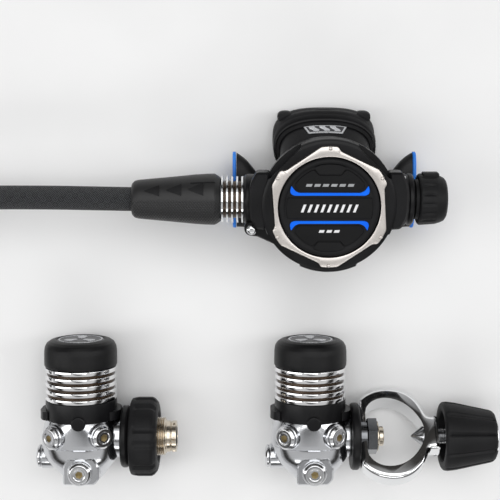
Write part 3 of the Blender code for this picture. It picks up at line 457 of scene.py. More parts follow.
def round_plate(outline, inner_r, front, back, edge, samples):
    """A plate with a round hole, whose outer and inner edges are softened on the front side."""
    bm = bmesh.new()
    shell = [(0, back), (0, front + edge), (edge * 0.3, front + edge * 0.3), (edge, front)]
    bore = [(edge, front), (edge * 0.3, front + edge * 0.3), (0, front + edge), (0, back)]
    rings = []
    for inset, depth in shell:
        rings.append([bm.verts.new((-(reach_at(outline, 2 * math.pi * k / samples) - inset)
                                    * math.cos(2 * math.pi * k / samples),
                                    (reach_at(outline, 2 * math.pi * k / samples) - inset)
                                    * math.sin(2 * math.pi * k / samples), depth)) for k in range(samples)])
    for outset, depth in bore:
        rings.append([bm.verts.new((-(inner_r + outset) * math.cos(2 * math.pi * k / samples),
                                    (inner_r + outset) * math.sin(2 * math.pi * k / samples), depth))
                      for k in range(samples)])
    for index, near in enumerate(rings):
        far = rings[(index + 1) % len(rings)]
        for k in range(samples):
            following = (k + 1) % samples
            bm.faces.new((near[k], near[following], far[following], far[k]))
    return bm


def joined(*parts):
    """One bmesh out of several."""
    whole = parts[0]
    for part in parts[1:]:
        mesh = bpy.data.meshes.new("part")
        part.to_mesh(mesh)
        part.free()
        whole.from_mesh(mesh)
        bpy.data.meshes.remove(mesh)
    return whole


def dome(x, y, radius, front, back, sides=24):
    """A small domed pin at a place on the face, standing proud towards the front."""
    profile = [(0, front), (radius * 0.5, front + 0.12), (radius * 0.85, front + 0.4), (radius, front + 0.9),
               (radius, back), (0, back)]
    bm = turned(profile, sides, 0.1)
    bmesh.ops.translate(bm, vec=(-x, y, 0), verts=bm.verts)
    return bm


BRUSHED = finish("brushed_warm_steel", (0.66, 0.62, 0.585), (0.74, 0.70, 0.665), (0.24, 0.42), 1.0, 700,
                 0.00002, (1.0, 12.0, 12.0))
ring_plate = round_plate(rounded(ring_outline(), 0.9, True, 2), RING_BORE_R, 0, RING_THICK, 0.55,
                         RING_SAMPLES)
pins = [dome(PIN_CIRCLE_R * math.cos(math.radians(90 + 60 * k)),
             PIN_CIRCLE_R * math.sin(math.radians(90 + 60 * k)), PIN_R, -0.75, 1.0) for k in range(6)]
put("face_ring_plate", joined(ring_plate, *pins), ALONG_DEPTH, BRUSHED, "second_stage",
    ("face_ring",))

# ---------------------------------------------------------------- second stage: purge button
# A soft black moulded button with a raised rim. Its two textured panels and the smooth band between them
# are one moulding; two blue strips with turned ends are set into it, and generic light marks are printed on.
FACE_DEPTH = -0.55
PANEL_R = 23.6
BLUE_PLASTIC = finish("blue_moulded_plastic", (0.0, 0.13, 0.88), (0.0, 0.16, 0.95), (0.32, 0.45), 0.0, 1800)
PURGE_BLACK = finish("purge_black_rubber", (0.0045, 0.0045, 0.005), (0.008, 0.008, 0.009), (0.42, 0.6), 0.0,
                     2600, 0.00008)
PANEL_BLACK = finish("purge_panel_black", (0.003, 0.003, 0.0035), (0.0055, 0.0055, 0.006), (0.3, 0.48), 0.0,
                     3200, 0.00005)
PRINT_WHITE = finish("printed_white", (0.74, 0.74, 0.75), (0.84, 0.84, 0.85), (0.4, 0.55), 0.0, 2200)
PRINT_GREY = finish("printed_grey", (0.30, 0.31, 0.32), (0.42, 0.43, 0.44), (0.35, 0.5), 0.0, 2200)


def slab(outline, front, back, edge=0.25, flip=True):
    """A flat piece from an (x, y) outline, softened along its front edge."""
    bm = bmesh.new()
    sign = -1 if flip else 1
    loops = []
    count = len(outline)
    for inset, depth in ((0, back), (0, front + edge), (edge, front)):
        loop = []
        for index, point in enumerate(outline):
            before, after = Vector(outline[index - 1]), Vector(outline[(index + 1) % count])
            along = (after - before).normalized()
            inward = Vector((-along.y, along.x)) * inset
            loop.append(bm.verts.new((sign * (point[0] + inward.x), point[1] + inward.y, depth)))
        loops.append(loop)
    bm.faces.new(loops[0])
    bm.faces.new(loops[-1])
    for near, far in zip(loops, loops[1:]):
        for k in range(count):
            following = (k + 1) % count
            bm.faces.new((near[k], near[following], far[following], far[k]))
    return bm


def arc(radius, start, end, steps):
    """Points along part of a circle about the middle, angles in degrees."""
    return [(radius * math.cos(math.radians(start + (end - start) * k / steps)),
             radius * math.sin(math.radians(start + (end - start) * k / steps))) for k in range(steps + 1)]


def both_ways(outline, side):
    """The outline as it is, or turned over for the lower half."""
    return outline if side > 0 else [(-x, -y) for x, y in outline]


button_profile = [(0, FACE_DEPTH - 0.1), (14, FACE_DEPTH), (24.6, FACE_DEPTH + 0.25), (25.3, -0.75),
                  (26.6, -0.85), (27.6, -0.2), (BUTTON_R, 0.9), (BUTTON_R, 5.5), (30, 5.5), (30, 6.4),
                  (25.5, 6.4), (25.5, 2.4), (3, 2.4), (3, 11.7), (0, 11.7)]
put("purge_button_moulding", turned(button_profile, 144, 0.5), ALONG_DEPTH, PURGE_BLACK, "purge",
    ("purge_button",))
for side, label in ((1, "upper"), (-1, "lower")):
    strip = [(-17, 8.75), (-19.3, 9.9), (-21.3, 12.8), (-21.9, 9.6), (-21.4, 8.0), (-19.6, 7.15),
             (19.6, 7.15), (21.4, 8.0), (21.9, 9.6), (21.3, 12.8), (19.3, 9.9), (17, 8.75)]
    strip_mesh = slab(both_ways(rounded(strip, 0.9), side), -1.05, -0.3, 0.15)
    put("blue_strip_" + label, strip_mesh, ALONG_DEPTH, BLUE_PLASTIC, "purge",
        ("strip_" + label,))
    panel = arc(PANEL_R, 35, 67, 8) + [(8.0, 21.0), (6.1, 18.7), (-6.1, 18.7), (-8.0, 21.0)]
    panel += arc(PANEL_R, 113, 145, 8) + [(-18.6, 10.8), (-16.6, 9.6), (16.6, 9.6), (18.6, 10.8)]
    put("purge_panel_" + label, slab(both_ways(rounded(panel, 0.8), side), -1.0, -0.2, 0.3), ALONG_DEPTH,
        PANEL_BLACK, "purge")
    tab = [(8.3, 22.6), (6.0, 19.7), (-6.0, 19.7), (-8.3, 22.6), (-5, 23.9), (0, 24.3), (5, 23.9)]
    put("purge_tab_" + label, slab(both_ways(rounded(tab, 0.5), side), -1.1, -0.2, 0.3), ALONG_DEPTH,
        PURGE_BLACK, "purge")
band = arc(PANEL_R + 0.4, -14.5, 14.5, 8) + arc(PANEL_R + 0.4, 165.5, 194.5, 8)
put("purge_band", slab(rounded(band, 0.6), -1.0, -0.2, 0.3), ALONG_DEPTH, PANEL_BLACK, "purge")
MARK_FRONT = -1.06


def bars(count, pitch, width, tall, lean, rise):
    """A row of plain slanted bars, used as a generic printed mark."""
    parts = []
    for k in range(count):
        x = (k - (count - 1) / 2) * pitch
        parts.append(slab([(x - width / 2 - lean, rise - tall / 2), (x + width / 2 - lean, rise - tall / 2),
                           (x + width / 2 + lean, rise + tall / 2), (x - width / 2 + lean, rise + tall / 2)],
                          MARK_FRONT, -0.9, 0.02))
    return joined(*parts)


put("mark_middle", bars(9, 3.6, 1.5, 4.4, 0.8, 0), ALONG_DEPTH, PRINT_WHITE, "purge")
put("mark_upper", bars(6, 4.6, 3.2, 1.5, 0.3, 13.0), ALONG_DEPTH, PRINT_GREY, "purge")
put("mark_lower", bars(3, 4.2, 2.8, 1.5, 0.3, -13.0), ALONG_DEPTH, PRINT_WHITE, "purge")

# ---------------------------------------------------------------- second stage: front cover
# A black moulded bayonet cover: a bevelled rim round the ring, a long pocket beside each slanted ring edge,
# a thick grip pad on each side, and an inner disc with holes that let water reach the diaphragm.
COVER_R = 38.0
COVER_FRONT = 2.5
COVER_DEPTH = 13.0
GRILLE_FRONT = 9.2
GRILLE_BACK = 10.4
BLACK_PLASTIC = finish("black_moulded_plastic", (0.004, 0.004, 0.0045), (0.009, 0.009, 0.010), (0.26, 0.42),
                       0.0, 1500, 0.00004)


def carve(target, tool, operation="DIFFERENCE"):
    """Cut a tool out of a solid, or join it on."""
    made = []
    for bm in (target, tool):
        bmesh.ops.recalc_face_normals(bm, faces=bm.faces)
        mesh = bpy.data.meshes.new("work")
        bm.to_mesh(mesh)
        bm.free()
        made.append(bpy.data.objects.new("work", mesh))
        bpy.context.scene.collection.objects.link(made[-1])
    step = made[0].modifiers.new("carve", "BOOLEAN")
    step.operation = operation
    step.solver = "EXACT"
    step.object = made[1]
    bpy.context.view_layer.update()
    evaluated = made[0].evaluated_get(bpy.context.evaluated_depsgraph_get())
    result = bpy.data.meshes.new_from_object(evaluated)
    out = bmesh.new()
    out.from_mesh(result)
    bmesh.ops.remove_doubles(out, verts=out.verts, dist=0.004)
    bmesh.ops.dissolve_degenerate(out, edges=out.edges, dist=0.004)
    for obj in made:
        old = obj.data
        bpy.data.objects.remove(obj)
        bpy.data.meshes.remove(old)
    bpy.data.meshes.remove(result)
    return out


def moved(bm, matrix):
    """The same bmesh, carried by a matrix."""
    bmesh.ops.transform(bm, matrix=matrix, verts=bm.verts)
    return bm


def softened(piece, width, segments=2, angle=38):
    """Round a piece's sharp edges."""
    bevel = piece.modifiers.new("soft_edges", "BEVEL")
    bevel.width = width * MM
    bevel.segments = segments
    bevel.limit_method = "ANGLE"
    bevel.angle_limit = math.radians(angle)
    bevel.use_clamp_overlap = True
    bevel.harden_normals = False
    return piece


room = COVER_R - 4.5
cover_profile = [(RING_BORE_R, COVER_FRONT), (COVER_R - 2.2, COVER_FRONT), (COVER_R - 0.6, COVER_FRONT + 0.5),
                 (COVER_R, COVER_FRONT + 2.0), (COVER_R, COVER_DEPTH), (room, COVER_DEPTH),
                 (room, GRILLE_BACK), (3.8, GRILLE_BACK), (3.8, GRILLE_FRONT), (room, GRILLE_FRONT),
                 (room, 5.2), (RING_BORE_R, 5.2)]
cover = turned(cover_profile, 144, 0.4)
for quarter in range(4):
    pocket = rounded([(34.6, -12.5), (36.2, -13.5), (41, -13.5), (41, 13.5), (36.2, 13.5), (34.6, 12.5)], 0.8)
    notch = slab(pocket, COVER_FRONT - 1, COVER_DEPTH - 4.5, 0.05)
    notch = moved(notch, Matrix.Rotation(math.radians(45 + 90 * quarter), 4, "Z"))
    cover = carve(cover, notch)
for hole in range(6):
    cover = carve(cover, moved(turned([(0, GRILLE_FRONT - 1), (4.5, GRILLE_FRONT - 1), (4.5, GRILLE_BACK + 1),
                                       (0, GRILLE_BACK + 1)], 32, 0.0),
                               Matrix.Rotation(math.radians(60 * hole), 4,
                                               "Z") @ Matrix.Translation((15, 0, 0))))
grips = []
for side in (-1, 1):
    grip = [(35.0, -13.5), (40.6, -13.0), (43.6, -7.5), (44.4, -3), (44.4, 9), (43.4, 13.5), (40.4, 19.2),
            (33.0, 19.2)]
    grip = [(side * x, y) for x, y in rounded(grip, 1.6)]
    grips.append(slab(grip if side > 0 else list(reversed(grip)), 3.5, COVER_DEPTH - 0.1, 1.2))
softened(put("front_cover_moulding", joined(cover, *grips), ALONG_DEPTH, BLACK_PLASTIC, "second_stage",
             ("front_cover",)), 0.3)
pin_place = STAGE @ aim((-43, 0, -15), (0, 1, 0))
POLISHED = finish("polished_chrome", (0.80, 0.81, 0.82), (0.86, 0.865, 0.87), (0.05, 0.12), 1.0, 1200,
                  0.000005)
put("cover_lock_button", turned([(0, 9.1), (1.6, 9.3), (2.6, 9.9), (3.0, 10.8), (3.0, 13), (0, 13)], 48, 0.3),
    pin_place, POLISHED, "second_stage", ("cover_lock_pin",))

# ---------------------------------------------------------------- second stage: case
# One black moulding: a bowl with a collar on each side for the valve barrel, a lug for the lock button,
# a flattened neck to the mouthpiece and an exhaust port underneath. It is hollow right through.
CASE_R = 36.0
CASE_FRONT = 13.3
CASE_BACK = 40.0
CASE_WALL = 2.7
COLLAR_R = 14.5
COLLAR_END = 47.5
NECK_HALF_WIDTH = 26.5
NECK_HALF_HEIGHT = 14.5
NECK_WALL = 2.5
NECK_SIDES = 96
PORT_R = 9.5
PORT_HEIGHT = -22.0


def oval(half_width, half_height, power, count):
    """Points of a rounded oval; power 2 is an ellipse and more is squarer."""
    points = []
    for k in range(count):
        angle = 2 * math.pi * k / count
        c, s = math.cos(angle), math.sin(angle)
        points.append((math.copysign(abs(c) ** (2 / power), c) * half_width,
                       math.copysign(abs(s) ** (2 / power), s) * half_height))
    return points


def flowing(sections, steps):
    """Extra sections between the given ones, on smooth curves."""
    fuller = []
    ends = [sections[0]] + list(sections) + [sections[-1]]
    for a, b, c, d in zip(ends, ends[1:], ends[2:], ends[3:]):
        for k in range(steps):
            t = k / steps
            fuller.append(tuple(0.5 * (2 * q + (r - p) * t + (2 * p - 5 * q + 4 * r - s) * t * t
                                       + (3 * q - p - 3 * r + s) * t ** 3) for p, q, r, s in zip(a, b, c, d)))
    return fuller + [tuple(sections[-1])]


def lofted(outer, inner=None, count=NECK_SIDES):
    """A body through sections (height, x, y, half width, half height, power), hollow if inner is given."""
    bm = bmesh.new()
    stack = list(outer) + (list(reversed(inner)) if inner else [])
    rings = [[bm.verts.new((x + a, y + b, height)) for a, b in oval(half_width, half_height, power, count)]
             for height, x, y, half_width, half_height, power in stack]
    for index in range(len(rings) if inner else len(rings) - 1):
        near, far = rings[index], rings[(index + 1) % len(rings)]
        for k in range(count):
            following = (k + 1) % count
            bm.faces.new((near[k], near[following], far[following], far[k]))
    if not inner:
        bm.faces.new(rings[0])
        bm.faces.new(rings[-1])
    return bm


def rod(radius, start, end, sides=64):
    """A plain round bar about +Z."""
    return turned([(0, start), (radius, start), (radius, end), (0, end)], sides, 0.0)


to_barrel = aim((0, BARREL_DEPTH, 0), (1, 0, 0), (0, 1, 0))
to_depth = aim((0, 0, 0), (0, 1, 0), (-1, 0, 0))
to_port = aim((0, 0, PORT_HEIGHT), (0, 1, 0))
neck_outer = [(30, 0, 15, NECK_HALF_WIDTH - 1, NECK_HALF_HEIGHT - 2, 2.4),
              (37, 0, 19, NECK_HALF_WIDTH, NECK_HALF_HEIGHT - 0.5, 2.4),
              (50, 0, 27.5, NECK_HALF_WIDTH, NECK_HALF_HEIGHT, 2.4)]
neck_inner = [(33, 0, 17, NECK_HALF_WIDTH - NECK_WALL - 1, NECK_HALF_HEIGHT - NECK_WALL - 2, 2.4),
              (37, 0, 19, NECK_HALF_WIDTH - NECK_WALL, NECK_HALF_HEIGHT - NECK_WALL - 0.5, 2.4),
              (51, 0, 28.15, NECK_HALF_WIDTH - NECK_WALL, NECK_HALF_HEIGHT - NECK_WALL, 2.4)]
bowl = moved(turned([(0, CASE_FRONT), (CASE_R, CASE_FRONT), (CASE_R, 28), (CASE_R - 1.4, 33.5),
                     (CASE_R - 4.5, 37.8), (27, CASE_BACK), (0, CASE_BACK)], 144, 1.2), to_depth)
left_collar = moved(turned([(0, -COLLAR_END), (COLLAR_R - 1.2, -COLLAR_END), (COLLAR_R, -COLLAR_END + 1.2),
                            (COLLAR_R, -28), (0, -28)], 96, 0.5), to_barrel)
right_collar = moved(turned([(0, 28), (15, 28), (15, 44.6), (14.2, 45.0), (14.2, 45.8), (15, 46.2),
                             (15, 48.0), (14.0, 49), (0, 49)], 96, 0.3), to_barrel)
port = moved(turned([(0, 34), (PORT_R + 2.5, 34), (PORT_R + 2.5, CASE_BACK + 1), (0, CASE_BACK + 1)], 64,
                    0.4), to_port)
LUG_R = 4.3
lug_turns = [math.radians(degree) for degree in range(0, 181, 15)]
lug_outline = [(24, -27), (24, -5), (40, -9)]
lug_outline += [(43 + LUG_R * math.sin(turn), -15 + LUG_R * math.cos(turn)) for turn in lug_turns]
lug_outline.append((40, -19.6))
lug = moved(slab([(-x, y) for x, y in lug_outline], CASE_FRONT + 0.1, BARREL_DEPTH, 0.8), to_depth)
case = bowl
for part in (left_collar, right_collar, moved(lofted(neck_outer), to_depth), port, lug):
    case = carve(case, part, "UNION")
margin = 40.0
front_room = bmesh.new()
bmesh.ops.create_cube(front_room, size=1.0)
bmesh.ops.scale(front_room, vec=(2 * 44.7, CASE_FRONT + 0.9, 2 * margin), verts=front_room.verts)
bmesh.ops.translate(front_room, vec=(0, (CASE_FRONT - 1.1) / 2, 0), verts=front_room.verts)
inside_r = CASE_R - 2 * CASE_WALL
bowl_room = moved(turned([(0, CASE_FRONT - 1), (inside_r, CASE_FRONT - 1), (inside_r, 32),
                          (inside_r - 4, CASE_BACK - CASE_WALL), (0, CASE_BACK - CASE_WALL)], 96, 0.5),
                  to_depth)
for part in (front_room, bowl_room, moved(rod(6.8, -COLLAR_END - 1, COLLAR_END + 3), to_barrel),
             moved(lofted(neck_inner), to_depth), moved(rod(PORT_R, 30, CASE_BACK + 2), to_port)):
    case = carve(case, part)
softened(put("case_moulding", case, STAGE, BLACK_PLASTIC, "second_stage", ("case",)), 0.35)
SPOKE_GREY = finish("port_spoke_grey", (0.02, 0.02, 0.021), (0.03, 0.03, 0.031), (0.4, 0.6), 0.0, 1500)
spoke = bmesh.new()
bmesh.ops.create_cube(spoke, size=1.0)
bmesh.ops.scale(spoke, vec=(2 * PORT_R + 1.6, 1.8, 2.2), verts=spoke.verts)
bmesh.ops.translate(spoke, vec=(0, 39.0, PORT_HEIGHT), verts=spoke.verts)
softened(put("exhaust_port_spoke", spoke, STAGE, SPOKE_GREY, "second_stage"), 0.3)
blades = turned([(0, 37), (0.8, 37), (0.8, 41.2), (10.4, 41.3), (10.7, 41.5), (10.4, 41.8), (0, 42.4)], 64,
                0.15)
SOFT_RUBBER = finish("soft_black_rubber", (0.006, 0.006, 0.0065), (0.011, 0.011, 0.012), (0.42, 0.62), 0.0,
                     1300, 0.00006)
put("exhaust_flap", blades, STAGE @ to_port, SOFT_RUBBER, "second_stage", ("exhaust_valve",))

# ---------------------------------------------------------------- second stage: neck badge
# A silver plate moulded to the top of the neck and glued on, with a raised border and a plain wave in relief.
BADGE_HALF = 12.5
BADGE_START = 40.6
BADGE_END = 45.4
SILVER = finish("badge_silver", (0.60, 0.61, 0.63), (0.72, 0.73, 0.75), (0.22, 0.38), 0.75, 1800, 0.00001)
BADGE_DARK = finish("badge_recess", (0.03, 0.03, 0.034), (0.06, 0.06, 0.065), (0.3, 0.45), 0.2, 1800, 0.00001)


def neck_top(x, depth, skin):
    """A point on the upper side of the neck, skin above its surface."""
    t = (depth - 37) / 13
    rise = 19 + 8.5 * t
    tall = NECK_HALF_HEIGHT - 0.5 + 0.5 * t + skin
    wide = NECK_HALF_WIDTH + skin
    return Vector((x, depth, rise + tall * (1 - min(1.0, abs(x / wide)) ** 2.4) ** (1 / 2.4)))


def closed_sheets(bm, sheets):
    """Faces over two grids of points, with a rim that joins them into one thin solid."""
    low_sheet, high_sheet = sheets
    along = len(low_sheet) - 1
    across = len(low_sheet[0]) - 1
    for sheet in sheets:
        for j in range(along):
            for i in range(across):
                bm.faces.new((sheet[j][i], sheet[j][i + 1], sheet[j + 1][i + 1], sheet[j + 1][i]))
    rim = [(0, i) for i in range(across)] + [(j, across) for j in range(along)]
    rim += [(along, i) for i in range(across, 0, -1)] + [(j, 0) for j in range(along, 0, -1)]
    for (j, i), (n, m) in zip(rim, rim[1:] + rim[:1]):
        bm.faces.new((low_sheet[j][i], low_sheet[n][m], high_sheet[n][m], high_sheet[j][i]))
    return bm


def neck_patch(left_edge, right_edge, start, end, lower, upper, across=28, along=8):
    """A curved plate on the neck between two edges given as functions of the depth."""
    bm = bmesh.new()
    sheets = []
    for skin in (lower, upper):
        sheet = []
        for j in range(along + 1):
            depth = start + (end - start) * j / along
            a, b = left_edge(depth), right_edge(depth)
            sheet.append([bm.verts.new(neck_top(a + (b - a) * i / across, depth,
                                                skin)) for i in range(across + 1)])
        sheets.append(sheet)
    return closed_sheets(bm, sheets)


def badge_edge(side, inset):
    """The badge narrows towards its front."""
    return lambda depth: side * (BADGE_HALF - inset - 2.6 * (BADGE_END - depth) / (BADGE_END - BADGE_START))


put("neck_badge_plate", neck_patch(badge_edge(-1, 0), badge_edge(1, 0), BADGE_START, BADGE_END, 0.3, 0.85),
    STAGE, SILVER, "second_stage", ("top_badge",))
put("neck_badge_field", neck_patch(badge_edge(-1, 0.9), badge_edge(1, 0.9), BADGE_START + 0.5,
                                   BADGE_END - 0.5, 0.7, 0.95), STAGE, BADGE_DARK, "second_stage")
for wave in range(3):
    middle = -6.2 + 6.2 * wave
    put("neck_badge_wave_%d" % wave,
        neck_patch(lambda d, m=middle: m - 2.2 + 1.4 * math.sin((d - BADGE_START) * 1.3), lambda d,
                   m=middle: m + 1.2 + 1.4 * math.sin((d - BADGE_START) * 1.3), BADGE_START + 0.8,
                   BADGE_END - 0.8, 0.9, 1.15, 6, 10), STAGE, SILVER, "second_stage")

# ---------------------------------------------------------------- second stage: mouthpiece and its strap
# A soft rubber mouthpiece pushed over the neck and held by a black strap. Behind its collar it widens into
# the bite flange, which has a rounded lobe at each upper corner and a raised strip across its back.
collar_start = 46.0
slope = 8.5 / 13
collar_rise = 19 + slope * (collar_start - 37)
room_w = NECK_HALF_WIDTH + 0.3
room_h = NECK_HALF_HEIGHT + 0.3
flange_rise = 29.5
mouth_outer = flowing([(46, 0, collar_rise, room_w + 1.6, room_h + 1.4, 2.4),
                       (51.4, 0, collar_rise + slope * 5.4, room_w + 2.0, room_h + 1.6, 2.4),
                       (54.2, 0, collar_rise + slope * 8, room_w + 2.2, room_h + 2.0, 2.5),
                       (57, 0, flange_rise - 0.5, 30.3, 18.3, 2.7),
                       (60, 0, flange_rise - 0.1, 30.5, 18.6, 2.9), (63.6, 0, flange_rise, 30.3, 18.4, 2.8),
                       (65.0, 0, flange_rise, 29.6, 17.8, 2.7), (65.6, 0, flange_rise, 27.8, 16.2, 2.6)], 4)
mouth_inner = [(46, 0, collar_rise, room_w, room_h, 2.4), (50.3, 0, 27.7, room_w, room_h, 2.4),
               (51.5, 0, 28.0, 22, 10.5, 2.4), (65.0, 0, flange_rise, 20, 9.5, 2.4),
               (65.6, 0, flange_rise, 21.4, 10.8, 2.4)]
put("mouthpiece_rubber", lofted(mouth_outer, mouth_inner, 128), ALONG_DEPTH, SOFT_RUBBER, "second_stage",
    ("mouthpiece",), 50)
for label, middle, half in (("left", -23.0, 4.6), ("right", 23.0, 4.6), ("middle", 0.0, 9.5)):
    lobe = [(56.4, middle, flange_rise + 14.8, half - 1.2, 2.4, 2.6),
            (57.2, middle, flange_rise + 15.0, half, 3.2, 2.6),
            (62.4, middle, flange_rise + 15.1, half, 3.3, 2.6),
            (63.6, middle, flange_rise + 15.0, half - 1.2, 2.4, 2.6)]
    if label != "middle":
        lobe = [(h, x, y - 1.6, w, t, p) for h, x, y, w, t, p in lobe]
    put("mouthpiece_lobe_" + label, lofted(flowing(lobe, 3), None, 48), ALONG_DEPTH, SOFT_RUBBER,
        "second_stage")
strap_outer, strap_inner = [], []
for height, swell in ((47.0, -0.5), (47.5, 0.0), (50.5, 0.0), (51.0, -0.5)):
    rise = collar_rise + slope * (height - collar_start)
    widen = 0.6 * (height - collar_start) / 7
    strap_outer.append((height, 0, rise, room_w + widen + 3.2 + swell, room_h + 3.0 + swell, 2.4))
    strap_inner.append((height, 0, rise, room_w + widen + 2.0, room_h + 1.9, 2.4))
put("mouthpiece_strap_band", lofted(strap_outer, strap_inner, 128), ALONG_DEPTH, BLACK_PLASTIC,
    "second_stage", ("mouthpiece_strap",), 40)
buckle = bmesh.new()
bmesh.ops.create_cube(buckle, size=1.0)
bmesh.ops.scale(buckle, vec=(5.4, 4.4, 3.6), verts=buckle.verts)
bmesh.ops.translate(buckle, vec=(0, 49.0, collar_rise + slope * 3 - room_h - 2.2), verts=buckle.verts)
softened(put("mouthpiece_strap_buckle", buckle, STAGE, BLACK_PLASTIC, "second_stage"), 0.7, 3)

# ---------------------------------------------------------------- second stage: exhaust tee
# A soft black moulding under the case that leads exhaled air to both sides; its thin wings widen outwards,
# and each mouth is edged with a blue moulded rim.
TEE_WALL = 1.8
TRIM_THICK = 2.0
TEE_PATH = [(0, 50.0, -26.0, 9.5, 10.0), (15, 50.0, -25.0, 9.5, 10.5), (28, 50.2, -18.5, 9.0, 13.0),
            (38, 50.6, -9.0, 8.4, 17.0), (46, 51.0, -2.5, 7.8, 20.5), (52, 51.3, 0.0, 7.6, 22.5)]
BLUE_RIM = finish("blue_rim_plastic", (0.02, 0.20, 0.80), (0.06, 0.30, 0.92), (0.25, 0.4), 0.0, 1500)
TEE_BLACK = finish("tee_black_moulding", (0.012, 0.012, 0.013), (0.020, 0.020, 0.021), (0.34, 0.5), 0.0, 1300,
                   0.00006)
both_sides = [(-x, y, z, w, h) for x, y, z, w, h in reversed(TEE_PATH[1:])] + TEE_PATH
tee_sections = flowing([(x, y, z, w, h, 2.3) for x, y, z, w, h in both_sides], 6)
tee_hollow = [(x, y, z, w - TEE_WALL, h - TEE_WALL, p) for x, y, z, w, h, p in tee_sections]
tee_mesh = moved(lofted(tee_sections, tee_hollow, 96), aim((0, 0, 0), (1, 0, 0), (0, 1, 0)))
tee_mesh = carve(tee_mesh, moved(rod(12.5, 38, 46), to_port))
put("exhaust_tee_moulding", tee_mesh, STAGE, TEE_BLACK, "second_stage", ("exhaust_tee",), 40)
reach, deep, rise, half_deep, half_tall = TEE_PATH[-1]
for label, side in (("left", -1), ("right", 1)):
    near, far = side * (reach + 0.3), side * (reach + 0.3 + TRIM_THICK)
    rim, hollow = [], []
    for spot, swell in ((0.0, -0.4), (0.2, 0.0), (0.8, 0.0), (1.0, -0.5)):
        x = near + (far - near) * spot
        rim.append((x, deep, rise, half_deep + 0.3 + swell, half_tall + 0.6 + swell, 2.3))
        hollow.append((x, deep, rise, half_deep - TEE_WALL - swell * 0.5, half_tall - TEE_WALL - swell * 0.5,
                       2.3))
    put("tee_rim_" + label, lofted(rim, hollow, 96), ALONG_X, BLUE_RIM, "second_stage",
        ("tee_trim_" + label,), 40)

# ---------------------------------------------------------------- second stage: fins, nut and hose sleeve
# Five turned and chromed fins warm the cold air; the hose nut screws in behind them. A rubber sleeve slides
# over the nut: arrow shapes are moulded on its upper side and the lower half has a fine cross-cut texture.
FIN_R = 13.5
FIN_PITCH = 2.86
FIN_THICK = 1.15
fin_start = -(COLLAR_END + 0.3)
exchanger_end = fin_start - 4 * FIN_PITCH - FIN_THICK
fin_profile = [(3.0, exchanger_end)]
for fin in range(4, -1, -1):
    right = fin_start - FIN_PITCH * fin
    fin_profile += [(FIN_R, right - FIN_THICK), (FIN_R, right)]
    if fin:
        fin_profile += [(9.8, right), (9.8, right + FIN_PITCH - FIN_THICK)]
fin_profile.append((3.0, fin_start))
put("heat_exchanger_fins", turned(fin_profile, 128, 0.3), ALONG_BARREL, POLISHED, "second_stage",
    ("heat_exchanger",))
# Dark brownish metal bands painted as shade: they sit in the gaps between the fins and in the grooves of the
# first stages' ribbed housings, where shade falls.
GROOVE_PAINTED_SHADE = finish("groove_shadow_chrome", (0.035, 0.024, 0.016), (0.09, 0.062, 0.042), (0.2, 0.34), 0.7,
                     1200, 0.000004)
# Each gap between two fins gets a dark band round its root: painted shade, not a real part.
for fin in range(4):
    left, right = fin_start - FIN_PITCH * (fin + 1) + 0.1, fin_start - FIN_PITCH * fin - FIN_THICK - 0.1
    put("fin_root_painted_shade_%d" % fin, turned([(9.5, left), (10.7, left), (10.7, right), (9.5, right)], 96, 0.0),
        ALONG_BARREL, GROOVE_PAINTED_SHADE, "second_stage")
sleeve_end = exchanger_end - 0.3
nut_outline = [(9.2 * math.cos(math.pi / 3 * k), 9.2 * math.sin(math.pi / 3 * k)) for k in range(6)]
nut_mesh = carve(slab(nut_outline, sleeve_end - 10, sleeve_end, 0.4, False),
                 rod(3.0, sleeve_end - 11, sleeve_end + 1))
put("hose_swivel_nut", nut_mesh, ALONG_BARREL, POLISHED, "second_stage", ("hose_nut",))
SLEEVE_R = 14.7
SLEEVE_TIP_R = 10.8
tip = sleeve_end - 51.0
SLEEVE_SKIN = [(SLEEVE_TIP_R - 1.8, tip), (SLEEVE_TIP_R - 0.2, tip + 1.6), (SLEEVE_TIP_R + 0.4, tip + 4),
               (SLEEVE_R - 1.7, tip + 24), (SLEEVE_R - 0.5, tip + 36), (SLEEVE_R, tip + 44),
               (SLEEVE_R, tip + 47.6), (SLEEVE_R - 2.2, sleeve_end)]
sleeve_profile = [(7.5, tip)] + SLEEVE_SKIN + [(9.8, sleeve_end), (9.8, sleeve_end - 11),
                                               (7.5, sleeve_end - 14)]


